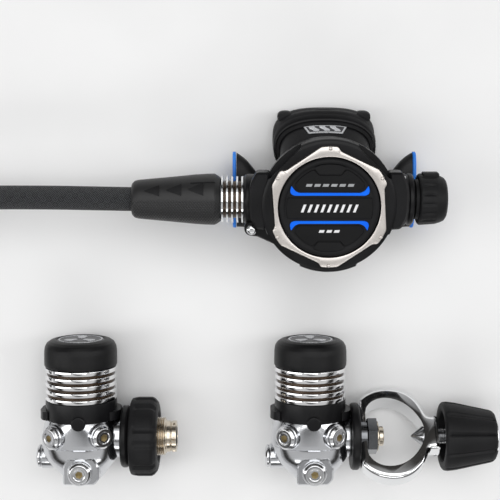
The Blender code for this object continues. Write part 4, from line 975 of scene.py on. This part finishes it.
def cut_rubber():
    """Black rubber: smooth where it faces the arrows and cross-cut in fine diamonds on the other half."""
    material, tree, shader = shader_of("cross_cut_rubber", 0.0)
    where = new_node(tree, "ShaderNodeTexCoord")
    waves = []
    for turn in (40, -40):
        lean = new_node(tree, "ShaderNodeMapping", Rotation=(0, 0, math.radians(turn)))
        wave = new_node(tree, "ShaderNodeTexWave", Scale=260.0)
        tree.links.new(where.outputs["Object"], lean.inputs[0])
        tree.links.new(lean.outputs[0], wave.inputs[0])
        waves.append(wave)
    crossing = new_node(tree, "ShaderNodeMath", operation="MINIMUM")
    tree.links.new(waves[0].outputs["Fac"], crossing.inputs[0])
    tree.links.new(waves[1].outputs["Fac"], crossing.inputs[1])
    split = new_node(tree, "ShaderNodeSeparateXYZ")
    tree.links.new(where.outputs["Object"], split.inputs[0])
    axis_y = (STAGE @ Vector((0, BARREL_DEPTH, 0))).y
    lower = new_node(tree, "ShaderNodeMapRange", **{"From Min": axis_y + 0.0012, "From Max": axis_y - 0.0012,
                                                    "To Min": 0.0, "To Max": 1.0})
    tree.links.new(split.outputs["Y"], lower.inputs["Value"])
    relief_height = new_node(tree, "ShaderNodeMath", operation="MULTIPLY")
    tree.links.new(crossing.outputs[0], relief_height.inputs[0])
    tree.links.new(lower.outputs[0], relief_height.inputs[1])
    grain = new_node(tree, "ShaderNodeTexNoise", Scale=1100.0, Detail=3.0)
    tone = colour_ramp(tree, ((0.0, (0.007, 0.007, 0.0075)), (1.0, (0.022, 0.022, 0.023))))
    gloss = new_node(tree, "ShaderNodeMapRange", **{"To Min": 0.36, "To Max": 0.6})
    relief = new_node(tree, "ShaderNodeBump", Strength=0.7, Distance=0.0004)
    tree.links.new(where.outputs["Object"], grain.inputs[0])
    tree.links.new(relief_height.outputs[0], tone.inputs[0])
    tree.links.new(grain.outputs["Fac"], gloss.inputs["Value"])
    tree.links.new(relief_height.outputs[0], relief.inputs["Height"])
    tree.links.new(tone.outputs[0], shader.inputs["Base Color"])
    tree.links.new(gloss.outputs[0], shader.inputs["Roughness"])
    tree.links.new(relief.outputs[0], shader.inputs["Normal"])
    return material


def skin_radius(height):
    """The sleeve's outer radius at a height along it."""
    for (r0, h0), (r1, h1) in zip(SLEEVE_SKIN, SLEEVE_SKIN[1:]):
        if h0 <= height <= h1:
            return r0 + (r1 - r0) * (height - h0) / (h1 - h0)
    return SLEEVE_SKIN[0][0] if height < tip else SLEEVE_SKIN[-1][0]


def skin_patch(start, end, half_angle, middle, raise_by, across=8, along=10):
    """A raised shape on the sleeve; half_angle gives its half width, as an angle, from 0 to 1 along it."""
    bm = bmesh.new()
    sheets = []
    for lift in (-0.4, raise_by):
        sheet = []
        for j in range(along + 1):
            height = start + (end - start) * j / along
            wide = half_angle(j / along)
            row = []
            for i in range(across + 1):
                angle = middle + wide * (2 * i / across - 1)
                radius = skin_radius(height) + lift
                row.append(bm.verts.new((radius * math.cos(angle), radius * math.sin(angle), height)))
            sheet.append(row)
        sheets.append(sheet)
    return closed_sheets(bm, sheets)


CROSS_CUT = cut_rubber()
put("hose_sleeve_rubber", turned(sleeve_profile, 128, 0.6), ALONG_BARREL, CROSS_CUT, "second_stage",
    ("hose_sleeve",), 40)
arrow_turn = math.radians(145)
arrows = [skin_patch(tip + 8 + 12.5 * k, tip + 16.5 + 12.5 * k, lambda t: 0.02 + 0.26 * t, arrow_turn, 0.35)
          for k in range(3)]
seam = skin_patch(tip + 34, tip + 48, lambda t: 0.02, math.radians(128), 0.22, 2, 12)
put("hose_sleeve_arrows", joined(*arrows, seam), ALONG_BARREL, SOFT_RUBBER, "second_stage")

# ---------------------------------------------------------------- second stage: adjusting knob
# A black moulded knob on a chromed spindle sets the breathing effort. Short flutes give grip at its wide end
# and a thumb tab marks its setting; a light square and a wedge are printed on the collar beside it.
KNOB_R = 14.8
KNOB_START = 52.0
knob_end = KNOB_START + 16
KNOB_FLUTES = 16


def knob_scallop(angle, radius, height):
    """Short round-ended flutes near the wide end of the knob."""
    if radius < KNOB_R - 2.6 or not KNOB_START + 0.9 < height < KNOB_START + 9.5:
        return 0.0
    wave = max(0.0, math.cos(KNOB_FLUTES * angle))
    fade = math.sin(math.pi * (height - KNOB_START - 0.9) / 8.6) ** 0.5
    return -0.75 * wave * wave * fade


knob_profile = [(4.6, 50), (11.5, 50), (11.5, KNOB_START), (KNOB_R - 0.8, KNOB_START)]
knob_profile += [(KNOB_R - 0.07 * k, KNOB_START + 1 + k) for k in range(10)]
knob_profile += [(KNOB_R - 1.5, knob_end - 3), (KNOB_R - 2.4, knob_end - 1.2), (KNOB_R - 4, knob_end),
                 (0.0, knob_end), (0.0, KNOB_START + 6.3), (4.6, KNOB_START + 6.3)]


knob_mesh = turned(knob_profile, 192, 0.35, knob_scallop, True)
tab_mesh = bmesh.new()
bmesh.ops.create_cube(tab_mesh, size=1.0)
bmesh.ops.scale(tab_mesh, vec=(7.0, 3.9, 9.5), verts=tab_mesh.verts)
bmesh.ops.translate(tab_mesh, vec=(0, KNOB_R - 1.05, KNOB_START + 7.0), verts=tab_mesh.verts)
put("adjusting_knob", knob_mesh, ALONG_BARREL, SOFT_RUBBER, "knob", ("adjust_knob",), 36)
softened(put("adjusting_knob_tab", tab_mesh, ALONG_BARREL, SOFT_RUBBER, "knob"), 0.9, 3)


def collar_patch(start, end, half_angle, middle, radius=15.0):
    """A thin printed shape on the right collar."""
    bm = bmesh.new()
    sheets = []
    for lift in (-0.1, 0.05):
        sheets.append([[bm.verts.new(((radius + lift) * math.cos(middle + half_angle(j / 6) * (i / 3 - 1)),
                                      (radius + lift) * math.sin(middle + half_angle(j / 6) * (i / 3 - 1)),
                                      start + (end - start) * j / 6)) for i in range(7)] for j in range(7)])
    return closed_sheets(bm, sheets)


put("collar_mark_square", collar_patch(41.5, 44.2, lambda t: 0.10, math.radians(113)), ALONG_BARREL,
    PRINT_WHITE, "second_stage")
put("collar_mark_wedge", collar_patch(38.5, 44.2, lambda t: 0.015 + 0.05 * t, math.radians(132)),
    ALONG_BARREL, PRINT_GREY, "second_stage")

# ---------------------------------------------------------------- second stage: working parts
# Inside the case, a chromed barrel holds the brass orifice, poppet and spring; a pressed lever and the
# rubber diaphragm with its steel plate open it; a moulded vane steers the air. They keep their solid shapes.
STEEL = finish("drawn_spring_steel", (0.42, 0.42, 0.43), (0.52, 0.52, 0.53), (0.2, 0.34), 1.0, 1800)
BRASS = finish("machined_brass", (0.62, 0.42, 0.17), (0.72, 0.52, 0.24), (0.22, 0.38), 1.0, 1500, 0.00001,
               (1, 8, 1))
for finish_used, names in (
        (POLISHED, ("valve_barrel", "knob_spindle", "diaphragm_plate", "demand_lever")),
        (STEEL, ("purge_spring", "poppet_spring", "din_main_spring", "yoke_main_spring")),
        (BRASS, ("orifice", "poppet", "din_poppet", "yoke_poppet")),
        (SOFT_RUBBER, ("diaphragm",)),
        (SPOKE_GREY, ("venturi_vane",))):
    for node_name in names:
        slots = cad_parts[node_name].material_slots
        for slot in slots:
            slot.material = finish_used

# ---------------------------------------------------------------- first stages: body and port plugs
# Both first stages share one forged brass body, chromed with a satin pearl finish: shoulders carry the two
# upper ports, a crease with a short slot runs below them, and a squarish front boss carries the lower port.
# Each unused port is closed by a round plug with a hex socket.
AXIS_HEIGHT = 24.6
BODY_HEIGHT = 37.7
INLET_HEIGHT = 25.5
INLET_FACE = 24.0
CAP_START = 68.9
PLUG_R = 6.8
PORT_ANGLE = math.radians(37.5)
PORT_REACH = 24.2
REAR_REACH = (AXIS_HEIGHT - PLUG_R * math.sin(PORT_ANGLE)) / math.cos(PORT_ANGLE)
STAGE_BODIES = {"din": "din_stage", "yoke": "yoke_stage"}
PORTS = (("upper_left", (0, 29.7, 0), (-math.sin(PORT_ANGLE), 0, math.cos(PORT_ANGLE)), PORT_REACH),
         ("upper_right", (0, 30.2, 0), (math.sin(PORT_ANGLE), 0, math.cos(PORT_ANGLE)), PORT_REACH),
         ("front", (1.7, 9.0, 0), (0, 0, 1), PORT_REACH - 2),
         ("side", (0, 13.5, 0), (-1, 0, 0), PORT_REACH))
PEARL = finish("satin_pearl_chrome", (0.60, 0.61, 0.63), (0.68, 0.69, 0.71), (0.13, 0.19), 1.0, 1600,
               0.000002)
PLUG_CHROME = finish("plug_chrome", (0.66, 0.665, 0.68), (0.74, 0.745, 0.755), (0.10, 0.2), 1.0, 1500,
                     0.000006)
SOCKET_GOLD = finish("socket_dark_gold", (0.20, 0.15, 0.07), (0.30, 0.23, 0.11), (0.3, 0.5), 1.0, 1500,
                     0.00001)
to_up = aim((0, 0, 0), (0, 1, 0), (-1, 0, 0))
to_inlet = aim((0, INLET_HEIGHT, 0), (1, 0, 0), (0, 1, 0))


def stage_place(prefix):
    """The first stage's own frame: x towards the inlet, y up the cap's axis, z away from the table."""
    cap_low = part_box(prefix + "_cap")[0]
    housing_low, housing_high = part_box(prefix + "_spring_housing")
    middle = (housing_low + housing_high) / 2 / MM
    return METRES @ Matrix.Translation((middle.x, cap_low.y / MM - CAP_START, AXIS_HEIGHT))


def forged_body():
    """The body in its own frame: a flowing loft, its bosses, the crease, the slot and the bores."""
    sections = [(0, -1.5, 0, 8.2, 8.6, 3.0), (0.8, -1.5, 0, 9.8, 10.4, 3.0), (3, -1.3, 0, 12.2, 12.6, 3.0),
                (9, -0.8, 0, 17.4, 16.9, 2.8), (15, -0.4, 0, 21.9, 19.9, 2.7), (21.6, 0, 0, 23.2, 20.9, 2.6),
                (22.6, 0, 0, 23.0, 20.6, 2.6), (23.4, 0, 0, 23.3, 20.9, 2.6), (30, 0, 0, 22.8, 21.1, 2.5),
                (35, 0, 0, 21.6, 21.1, 2.2), (BODY_HEIGHT, 0, 0, 20.9, 20.9, 2.0)]
    body = moved(lofted(flowing(sections, 3), None, 96), to_up)
    body = carve(body, moved(turned([(0, 8), (12.5, 8), (12.5, INLET_FACE), (0, INLET_FACE)], 64, 0.3),
                             to_inlet), "UNION")
    for _, point, direction, reach in PORTS:
        boss = [(0, 8), (PLUG_R + 0.6, 8), (PLUG_R + 0.6, reach - 0.6), (PLUG_R, reach), (0, reach)]
        body = carve(body, moved(turned(boss, 64, 0.25), aim(point, direction)), "UNION")
    for side in (-1, 1):
        direction = (side * math.sin(PORT_ANGLE), 0, -math.cos(PORT_ANGLE))
        body = carve(body, moved(turned([(0, 8), (PLUG_R, 8), (PLUG_R, REAR_REACH), (0, REAR_REACH)], 48,
                                        0.2), aim((0, 30, 0), direction)), "UNION")
    body = carve(body, moved(turned([(0, 8), (PLUG_R, 8), (PLUG_R, AXIS_HEIGHT), (0, AXIS_HEIGHT)], 48, 0.2),
                             aim((1.7, 9, 0), (0, 0, -1))), "UNION")
    shoulder = rounded([(-8.4, 1.6), (9.8, 1.6), (12.8, 5), (12.8, 12.5), (9.6, 17.6), (-5.2, 17.6),
                        (-8.4, 13)], 1.5)
    to_front = Matrix.Rotation(math.pi, 4, "Y")
    body = carve(body, moved(slab(shoulder, -20.6, -10, 0.9), to_front), "UNION")
    for slot_x, slot_y, slot_w, slot_h in ((1.5, 22.4, 3.6, 0.55), (1.7, 16.9, 3.0, 0.7)):
        slot_cut = bmesh.new()
        bmesh.ops.create_cube(slot_cut, size=1.0)
        bmesh.ops.scale(slot_cut, vec=(2 * slot_w, 2 * slot_h, 4), verts=slot_cut.verts)
        bmesh.ops.translate(slot_cut, vec=(slot_x, slot_y, 21.4), verts=slot_cut.verts)
        body = carve(body, slot_cut)
    body = carve(body, moved(rod(14.0, 31, BODY_HEIGHT + 1), to_up))
    body = carve(body, moved(rod(6.0, 16, 32), to_up))
    body = carve(body, moved(rod(5.0, 0, INLET_FACE + 1), to_inlet))
    for _, point, direction, reach in PORTS:
        body = carve(body, moved(rod(4.8, reach - 8, reach + 1), aim(point, direction)))
    return body


def port_plug(reach):
    """A round plug: a groove under its head, a soft edge, and a hex socket."""
    top = reach + 2.6
    plug = turned([(0, reach - 7), (4.5, reach - 7), (4.5, reach + 0.3), (PLUG_R - 0.3, reach + 0.3),
                   (PLUG_R, reach + 0.7), (PLUG_R, top - 1.1), (PLUG_R - 1.4, top), (3.6, top),
                   (3.3, top - 0.25), (0, top - 0.25)], 64, 0.25)
    socket = [(2.3 * math.cos(math.pi / 3 * k), 2.3 * math.sin(math.pi / 3 * k)) for k in range(6)]
    return carve(plug, slab(socket, top - 2.6, top + 1, 0.02, False))


def socket_floor(reach):
    """The darker bottom of the hex socket."""
    return turned([(0, reach - 0.4), (2.3, reach - 0.4), (2.3, reach + 0.4), (0, reach + 0.4)], 24, 0.1)


for prefix, body_name in STAGE_BODIES.items():
    place = stage_place(prefix)
    softened(put(prefix + "_forged_body", forged_body(), place, PEARL, body_name,
                 (prefix + "_body",), 34), 0.4, 3)
    for label, point, direction, reach in PORTS:
        put(prefix + "_port_plug_" + label, port_plug(reach), place @ aim(point, direction), PLUG_CHROME,
            body_name, (prefix + "_plug_" + label,))
        put(prefix + "_plug_socket_" + label, socket_floor(reach), place @ aim(point, direction), SOCKET_GOLD,
            body_name)

# ---------------------------------------------------------------- first stages: shroud, housing and cap
# A black plastic shroud with a flared lobe on each side and a round tab in front covers the chamber. Above it
# the chromed spring housing has five ribs, and a rubber cap with a badge disc closes the top.
SHROUD_START = 38.0
SHROUD_END = 49.0
SHROUD_R = 21.2
HOUSING_START = 49.3
HOUSING_END = 68.6
RIB_SHARE = 0.56
RIB_PITCH = (HOUSING_END - HOUSING_START) / 4.58
HOUSING_R = 21.2
GROOVE_R = 19.6
CAP_END = 84.9
CAP_R = 21.6
RIB_CHROME = finish("ribbed_chrome", (0.80, 0.80, 0.81), (0.88, 0.88, 0.89), (0.04, 0.1), 1.0, 1200, 0.000004)
CAP_RUBBER = finish("cap_rubber", (0.005, 0.005, 0.0055), (0.010, 0.010, 0.0105), (0.34, 0.5), 0.0, 1400,
                    0.00006)
EMBLEM = finish("emblem_silver", (0.42, 0.43, 0.45), (0.62, 0.63, 0.65), (0.2, 0.35), 0.9, 1600, 0.00001)


def shroud_mesh():
    """A sleeve with a flared lobe on each side and a round tab in front."""
    shell = turned([(17, SHROUD_START), (SHROUD_R, SHROUD_START), (SHROUD_R, SHROUD_END), (17, SHROUD_END)],
                   128, 0.4)
    for side in (-1, 1):
        lobe = rounded([(side * 18, 12.4), (side * 18, -12.4), (side * 21.6, -10), (side * 23.8, -5),
                        (side * 23.8, 5), (side * 21.6, 10)], 1.2)
        lobe = lobe if side < 0 else list(reversed(lobe))
        shell = carve(shell, slab(lobe, SHROUD_START, SHROUD_START + 5, 0.1, False), "UNION")
    tab = moved(turned([(0, 16), (4.3, 16), (4.3, 21.7), (3.6, 22.2), (0, 22.2)], 48, 0.3),
                to_up.inverted() @ aim((1.2, SHROUD_START + 0.4, 0), (0, 0, 1)))
    return carve(shell, tab, "UNION")


def housing_mesh():
    """Five flat ribs with softened edges over a smaller core."""
    profile = [(17, HOUSING_START)]
    for rib in range(5):
        base = HOUSING_START + RIB_PITCH * rib
        top = min(base + RIB_SHARE * RIB_PITCH, HOUSING_END)
        profile += [(HOUSING_R, base), (HOUSING_R, top)]
        if rib < 4:
            profile += [(GROOVE_R, top + 0.15), (GROOVE_R, base + RIB_PITCH - 0.15)]
    return turned(profile + [(17, HOUSING_END)], 160, 0.3)


def groove_shade_band(rib):
    """A dark band at the bottom of one groove: painted shade, not a real lining."""
    start = HOUSING_START + RIB_PITCH * (rib + RIB_SHARE) + 0.2
    end = HOUSING_START + RIB_PITCH * (rib + 1) - 0.2
    return turned([(GROOVE_R - 0.1, start), (GROOVE_R + 0.5, start), (GROOVE_R + 0.5, end),
                   (GROOVE_R - 0.1, end)], 128, 0.0)


cap_profile = [(0, CAP_START), (CAP_R - 0.7, CAP_START), (CAP_R - 0.1, CAP_START + 0.8),
               (CAP_R, CAP_START + 3), (CAP_R - 0.1, CAP_END - 7), (CAP_R - 0.5, CAP_END - 4.2),
               (CAP_R - 1.7, CAP_END - 2.0), (CAP_R - 3.8, CAP_END - 0.6), (15.4, CAP_END),
               (14.6, CAP_END - 0.1), (14.2, CAP_END - 0.7), (0, CAP_END - 0.7)]
for prefix, body_name in STAGE_BODIES.items():
    up = stage_place(prefix) @ to_up
    put(prefix + "_chamber_shroud", shroud_mesh(), up, BLACK_PLASTIC, body_name,
        (prefix + "_shroud",))
    put(prefix + "_ribbed_housing", housing_mesh(), up, RIB_CHROME, body_name,
        (prefix + "_spring_housing",))
    # Dark bands in the grooves between the ribs: painted shade.
    for rib in range(4):
        put("%s_groove_painted_shade_%d" % (prefix, rib), groove_shade_band(rib), up, GROOVE_PAINTED_SHADE, body_name)
    put(prefix + "_rubber_cap", turned(cap_profile, 160, 0.5), up, CAP_RUBBER, body_name,
        (prefix + "_cap",), 40)
    disc = turned([(0, CAP_END - 1.4), (13.8, CAP_END - 1.4), (13.8, CAP_END - 0.45), (13.0, CAP_END - 0.3),
                   (0, CAP_END - 0.3)], 96, 0.15)
    put(prefix + "_cap_badge", disc, up, BADGE_DARK, body_name)
    rim = turned([(12.2, CAP_END - 0.5), (13.1, CAP_END - 0.5), (13.1, CAP_END - 0.05),
                  (12.2, CAP_END - 0.05)], 96, 0.12)
    emblem = [rim]
    for petal in range(3):
        turn = Matrix.Rotation(math.radians(120 * petal + 30), 4, "Z")
        leaf = rounded([(2.2, -1.4), (8.4, -3.2), (10.6, 0), (8.4, 3.2), (2.2, 1.4)], 1.4)
        emblem.append(moved(slab(list(reversed(leaf)), CAP_END - 0.5, CAP_END - 0.02, 0.02, False), turn))
    put(prefix + "_cap_emblem", joined(*emblem), up, EMBLEM, body_name)

# ---------------------------------------------------------------- DIN first stage: ring, hand wheel and stud
# A black ring clamps against the body; a rubber-covered hand wheel with broad grip ridges turns the threaded
# stud of chromed brass into the cylinder valve. The champagne nose of the stud carries the sealing ring.
DIN_RING_R = 18.5
RING_START = 24.3
WHEEL_R = 23.5
WHEEL_START = 29.6
WHEEL_END = 46.2
THREAD_R = 11.4
THREAD_END = 50.5
NOSE_R = 9.3
NOSE_END = 57.0
RIDGE_GROUPS = 6
RIDGE_SHARE = 0.55
RIDGE_DEPTH = 1.05
NICKEL = finish("champagne_nickel", (0.60, 0.53, 0.43), (0.70, 0.63, 0.53), (0.14, 0.26), 1.0, 1400, 0.00001)
RING_PLASTIC = finish("clamp_ring_plastic", (0.0045, 0.0045, 0.005), (0.009, 0.009, 0.0095), (0.3, 0.46), 0.0,
                      1500, 0.00004)
along_inlet = {prefix: stage_place(prefix) @ to_inlet for prefix in STAGE_BODIES}


def wheel_grip(angle, radius, height):
    """Groups of three broad ridges with smooth rubber between them."""
    if radius < WHEEL_R - 3.4 or not WHEEL_START + 2.4 < height < WHEEL_END - 1.0:
        return 0.0
    turn = (angle * RIDGE_GROUPS / (2 * math.pi)) % 1.0
    fade = min(1.0, (height - WHEEL_START - 2.4) / 1.6, (WHEEL_END - 1.0 - height) / 0.8)
    if turn > RIDGE_SHARE:
        return 0.0
    return -RIDGE_DEPTH * fade * max(0.0, math.sin(turn / RIDGE_SHARE * 3 * math.pi)) ** 0.7


din_ring = turned([(8.5, RING_START), (DIN_RING_R - 0.8, RING_START), (DIN_RING_R, RING_START + 1),
                   (DIN_RING_R, 27.4), (DIN_RING_R - 1.2, 29.3), (8.5, 29.3)], 128, 0.4)
put("din_clamp_ring", din_ring, along_inlet["din"], RING_PLASTIC, "din_stage", ("din_ring",))
wheel_profile = [(11.7, WHEEL_START), (WHEEL_R - 2.6, WHEEL_START), (WHEEL_R - 0.9, WHEEL_START + 0.7)]
wheel_profile += [(WHEEL_R - 0.5 + 0.5 * min(1.0, k / 3), WHEEL_START + 1.8 + k) for k in range(12)]
wheel_profile += [(WHEEL_R - 0.9, WHEEL_END - 2.2), (WHEEL_R - 2.8, WHEEL_END - 0.6),
                  (WHEEL_R - 5.0, WHEEL_END), (15.5, WHEEL_END), (14.4, WHEEL_END - 1.2),
                  (11.7, WHEEL_END - 1.2)]
put("din_hand_wheel_rubber", turned(wheel_profile, 288, 0.35, wheel_grip), along_inlet["din"], SOFT_RUBBER,
    "din_hand_wheel", ("din_wheel",), 36)
stud_profile = [(5.0, WHEEL_START), (THREAD_R - 0.3, WHEEL_START), (THREAD_R - 0.3, WHEEL_END - 1.2)]
stud_profile += thread(THREAD_R, WHEEL_END - 1.0, THREAD_END, 1.05, 0.75)
stud_profile += [(10.0, THREAD_END + 0.2), (10.0, THREAD_END + 0.6), (NOSE_R, THREAD_END + 0.9),
                 (NOSE_R, 53.4), (NOSE_R - 0.6, 53.7), (NOSE_R - 0.6, 54.0), (NOSE_R, 54.3), (NOSE_R, 54.9),
                 (NOSE_R, 55.1), (NOSE_R, 56.2), (NOSE_R, 56.4), (NOSE_R, NOSE_END), (7.4, NOSE_END),
                 (7.0, NOSE_END - 1.2), (5.0, NOSE_END - 1.2)]


def nose_notch(angle, radius, height):
    """Six small square notches round the nose."""
    inside = abs((angle * 6 / (2 * math.pi)) % 1.0 - 0.4) < 0.09 and 55.0 < height < 56.3
    return -1.0 if inside and radius > NOSE_R - 0.3 else 0.0


stud = turned(stud_profile, 144, 0.12, nose_notch)
put("din_threaded_stud", stud, along_inlet["din"], NICKEL, "din_hand_wheel", ("din_stud",), 26)
seal = turned([(5.5, NOSE_END - 1.25), (6.8, NOSE_END - 1.25), (6.8, NOSE_END - 0.2), (5.5, NOSE_END - 0.2)],
              64, 0.4)
put("din_nose_seal", seal, along_inlet["din"], SOFT_RUBBER, "din_hand_wheel")

# ---------------------------------------------------------------- yoke first stage: clamp, retainer and screw
# A forged and chromed loop with a pointed oval window swivels on the inlet behind a black ring. A dark hex
# retainer holds it; its champagne seat meets the valve, and a cone-tipped screw with a knob closes the loop.
SADDLE_R = 20.0
YOKE_TURN = math.radians(42)
YOKE_THICK = 13.0
YOKE_END = 77.0
SCREW_R = 4.4
SCREW_TIP = 60.5
KNOB_BACK = 79.0
KNOB_FRONT = 111.0
GRIP_R = 20.6
GRIP_TIP_R = 15.6
GRIP_RIBS = 10
DARK_CHROME = finish("dark_retainer_chrome", (0.16, 0.165, 0.175), (0.24, 0.245, 0.255), (0.12, 0.24), 1.0,
                     1400, 0.00001)
SCREW_STEEL = finish("clamp_screw_steel", (0.34, 0.345, 0.355), (0.46, 0.465, 0.475), (0.14, 0.26), 1.0, 1400,
                     0.00001)
in_loop = Matrix.Rotation(-YOKE_TURN, 4, "X")
loop_frame = stage_place("yoke") @ Matrix.Translation((0, INLET_HEIGHT, 0)) @ in_loop
LOOP_OUTSIDE = [(29.6, 20.0), (31.0, 22.6), (34.5, 25.6), (40, 28.3), (47, 29.5), (54, 28.8), (60, 26.2),
                (65, 21.6), (68.2, 16.0), (70.2, 11.6), (72.5, 10.5), (YOKE_END, 10.2)]
LOOP_WINDOW = [(33.5, 12.0), (34.4, 15.8), (37.6, 19.6), (42, 21.8), (47, 22.3), (52, 21.4), (57, 18.9),
               (61.5, 15.0), (65.4, 9.6), (67.6, 4.6), (68.0, 0.0)]


def loop_outline(points, steps):
    """One side of an outline made smooth, then mirrored to close it."""
    upper = [(p.x, p.y) for p in smooth_through([(x, y, 0) for x, y in points], steps)]
    lower = [(x, -y) for x, y in reversed(upper) if abs(y) > 1e-6]
    return upper + lower


def thick_outline(outline, half, edge, steps=4):
    """An extruded outline whose rims are rounded by edge, standing on both sides of its middle plane."""
    bm = bmesh.new()
    count = len(outline)
    profile = [(edge * (1 - math.sin(math.pi / 2 * k / steps)),
                -half + edge * (1 - math.cos(math.pi / 2 * k / steps))) for k in range(steps + 1)]
    profile += [(inset, -depth) for inset, depth in reversed(profile)]
    loops = []
    for inset, depth in profile:
        loop = []
        for index, point in enumerate(outline):
            before, after = Vector(outline[index - 1]), Vector(outline[(index + 1) % count])
            along = (after - before).normalized()
            inward = Vector((along.y, -along.x)) * inset
            loop.append(bm.verts.new((point[0] + inward.x, point[1] + inward.y, depth)))
        loops.append(loop)
    bm.faces.new(loops[0])
    bm.faces.new(loops[-1])
    for near, far in zip(loops, loops[1:]):
        for k in range(count):
            following = (k + 1) % count
            bm.faces.new((near[k], near[following], far[following], far[k]))
    return bm


saddle = turned([(9.3, RING_START), (SADDLE_R - 0.8, RING_START), (SADDLE_R, RING_START + 1.2),
                 (SADDLE_R, 28.2), (SADDLE_R - 0.8, 29.3), (9.3, 29.3)], 128, 0.5)
put("yoke_swivel_ring", saddle, along_inlet["yoke"], RING_PLASTIC, "yoke_stage",
    ("yoke_ring",))
clamp = thick_outline(loop_outline(LOOP_OUTSIDE, 5), YOKE_THICK / 2, 2.6)
clamp = carve(clamp, thick_outline(loop_outline(LOOP_WINDOW, 4), YOKE_THICK, 0.1, 1))
flat = aim((0, 0, 0), (1, 0, 0), (0, 1, 0))
clamp = carve(clamp, moved(rod(9.3, 28, 34.5), flat))
clamp = carve(clamp, moved(rod(SCREW_R + 0.3, 64, YOKE_END + 1), flat))
softened(put("yoke_forged_clamp", clamp, loop_frame, POLISHED, "yoke_loop", ("yoke_clamp",),
             36), 0.7, 3, 44)
hexagon = [(11 * math.cos(math.pi / 3 * k), 11 * math.sin(math.pi / 3 * k)) for k in range(6)]
retainer = slab(hexagon, 33.8, 39.8, 0.7, False)
retainer = carve(retainer, moved(rod(9.0, 24.3, 34.8), Matrix.Identity(4)), "UNION")
retainer = carve(retainer, rod(5.0, 23, 44))
softened(put("yoke_hex_retainer", retainer, along_inlet["yoke"], DARK_CHROME, "yoke_stage",
             ("yoke_retainer",)), 0.3)
nose = turned([(3.0, 30), (4.9, 30), (4.9, 39.9), (9.0, 39.9), (9.0, 40.6), (6.4, 40.9), (5.9, 41.4),
               (5.9, 43.6), (5.3, 44.0), (4.2, 44.0), (3.9, 43.2), (3.0, 43.2)], 96, 0.2)
put("yoke_seat_nose", nose, along_inlet["yoke"], NICKEL, "yoke_stage")
screw_profile = [(0, SCREW_TIP), (0.8, SCREW_TIP + 0.6), (5.6, 67.0), (6.0, 67.8), (5.8, 68.2),
                 (SCREW_R, 68.6)]
screw_profile += thread(SCREW_R, 69, 95, 1.3, 0.5) + [(SCREW_R, 95.4), (SCREW_R, 105), (0, 105)]
put("yoke_cone_screw", turned(screw_profile, 64, 0.12), along_inlet["yoke"], SCREW_STEEL, "yoke_screw",
    ("yoke_screw",), 26)


def grip_rib(angle, radius, height):
    """Broad flats with a narrow groove between neighbours, running the whole length of the knob."""
    if radius < 15.4 or not KNOB_BACK + 0.6 < height < KNOB_FRONT - 1.2:
        return 0.0
    wave = max(0.0, math.cos(GRIP_RIBS * angle)) ** 8
    fade = min(1.0, (height - KNOB_BACK - 0.6) / 2.0)
    return -1.1 * wave * fade


knob_skin = [(14.6, 90.0), (14.9, KNOB_BACK + 0.9), (15.6, KNOB_BACK), (GRIP_R - 1.4, KNOB_BACK),
             (GRIP_R - 0.3, KNOB_BACK + 0.9), (GRIP_R, KNOB_BACK + 3)]
knob_skin += [(GRIP_R - 0.6 - (GRIP_R - 0.6 - GRIP_TIP_R) * k / 10,
               KNOB_BACK + 8 + 2.1 * k) for k in range(11)]
knob_skin += [(GRIP_TIP_R - 0.6, KNOB_FRONT - 1.6), (GRIP_TIP_R - 2.0, KNOB_FRONT - 0.8),
              (0, KNOB_FRONT - 0.8), (0, 105.3), (4.7, 105.3), (4.7, 91.0), (14.0, 91.0)]
put("yoke_knob_rubber", turned(knob_skin, 240, 0.35, grip_rib, True), along_inlet["yoke"], SOFT_RUBBER,
    "yoke_hand_knob", ("yoke_knob",), 36)
cap_disc = turned([(0, KNOB_FRONT - 1.0), (GRIP_TIP_R - 1.2, KNOB_FRONT - 1.0),
                   (GRIP_TIP_R - 1.2, KNOB_FRONT - 0.5), (GRIP_TIP_R - 2.2, KNOB_FRONT), (0, KNOB_FRONT)], 96,
                  0.2)
put("yoke_knob_end_cap", cap_disc, along_inlet["yoke"], POLISHED, "yoke_hand_knob")
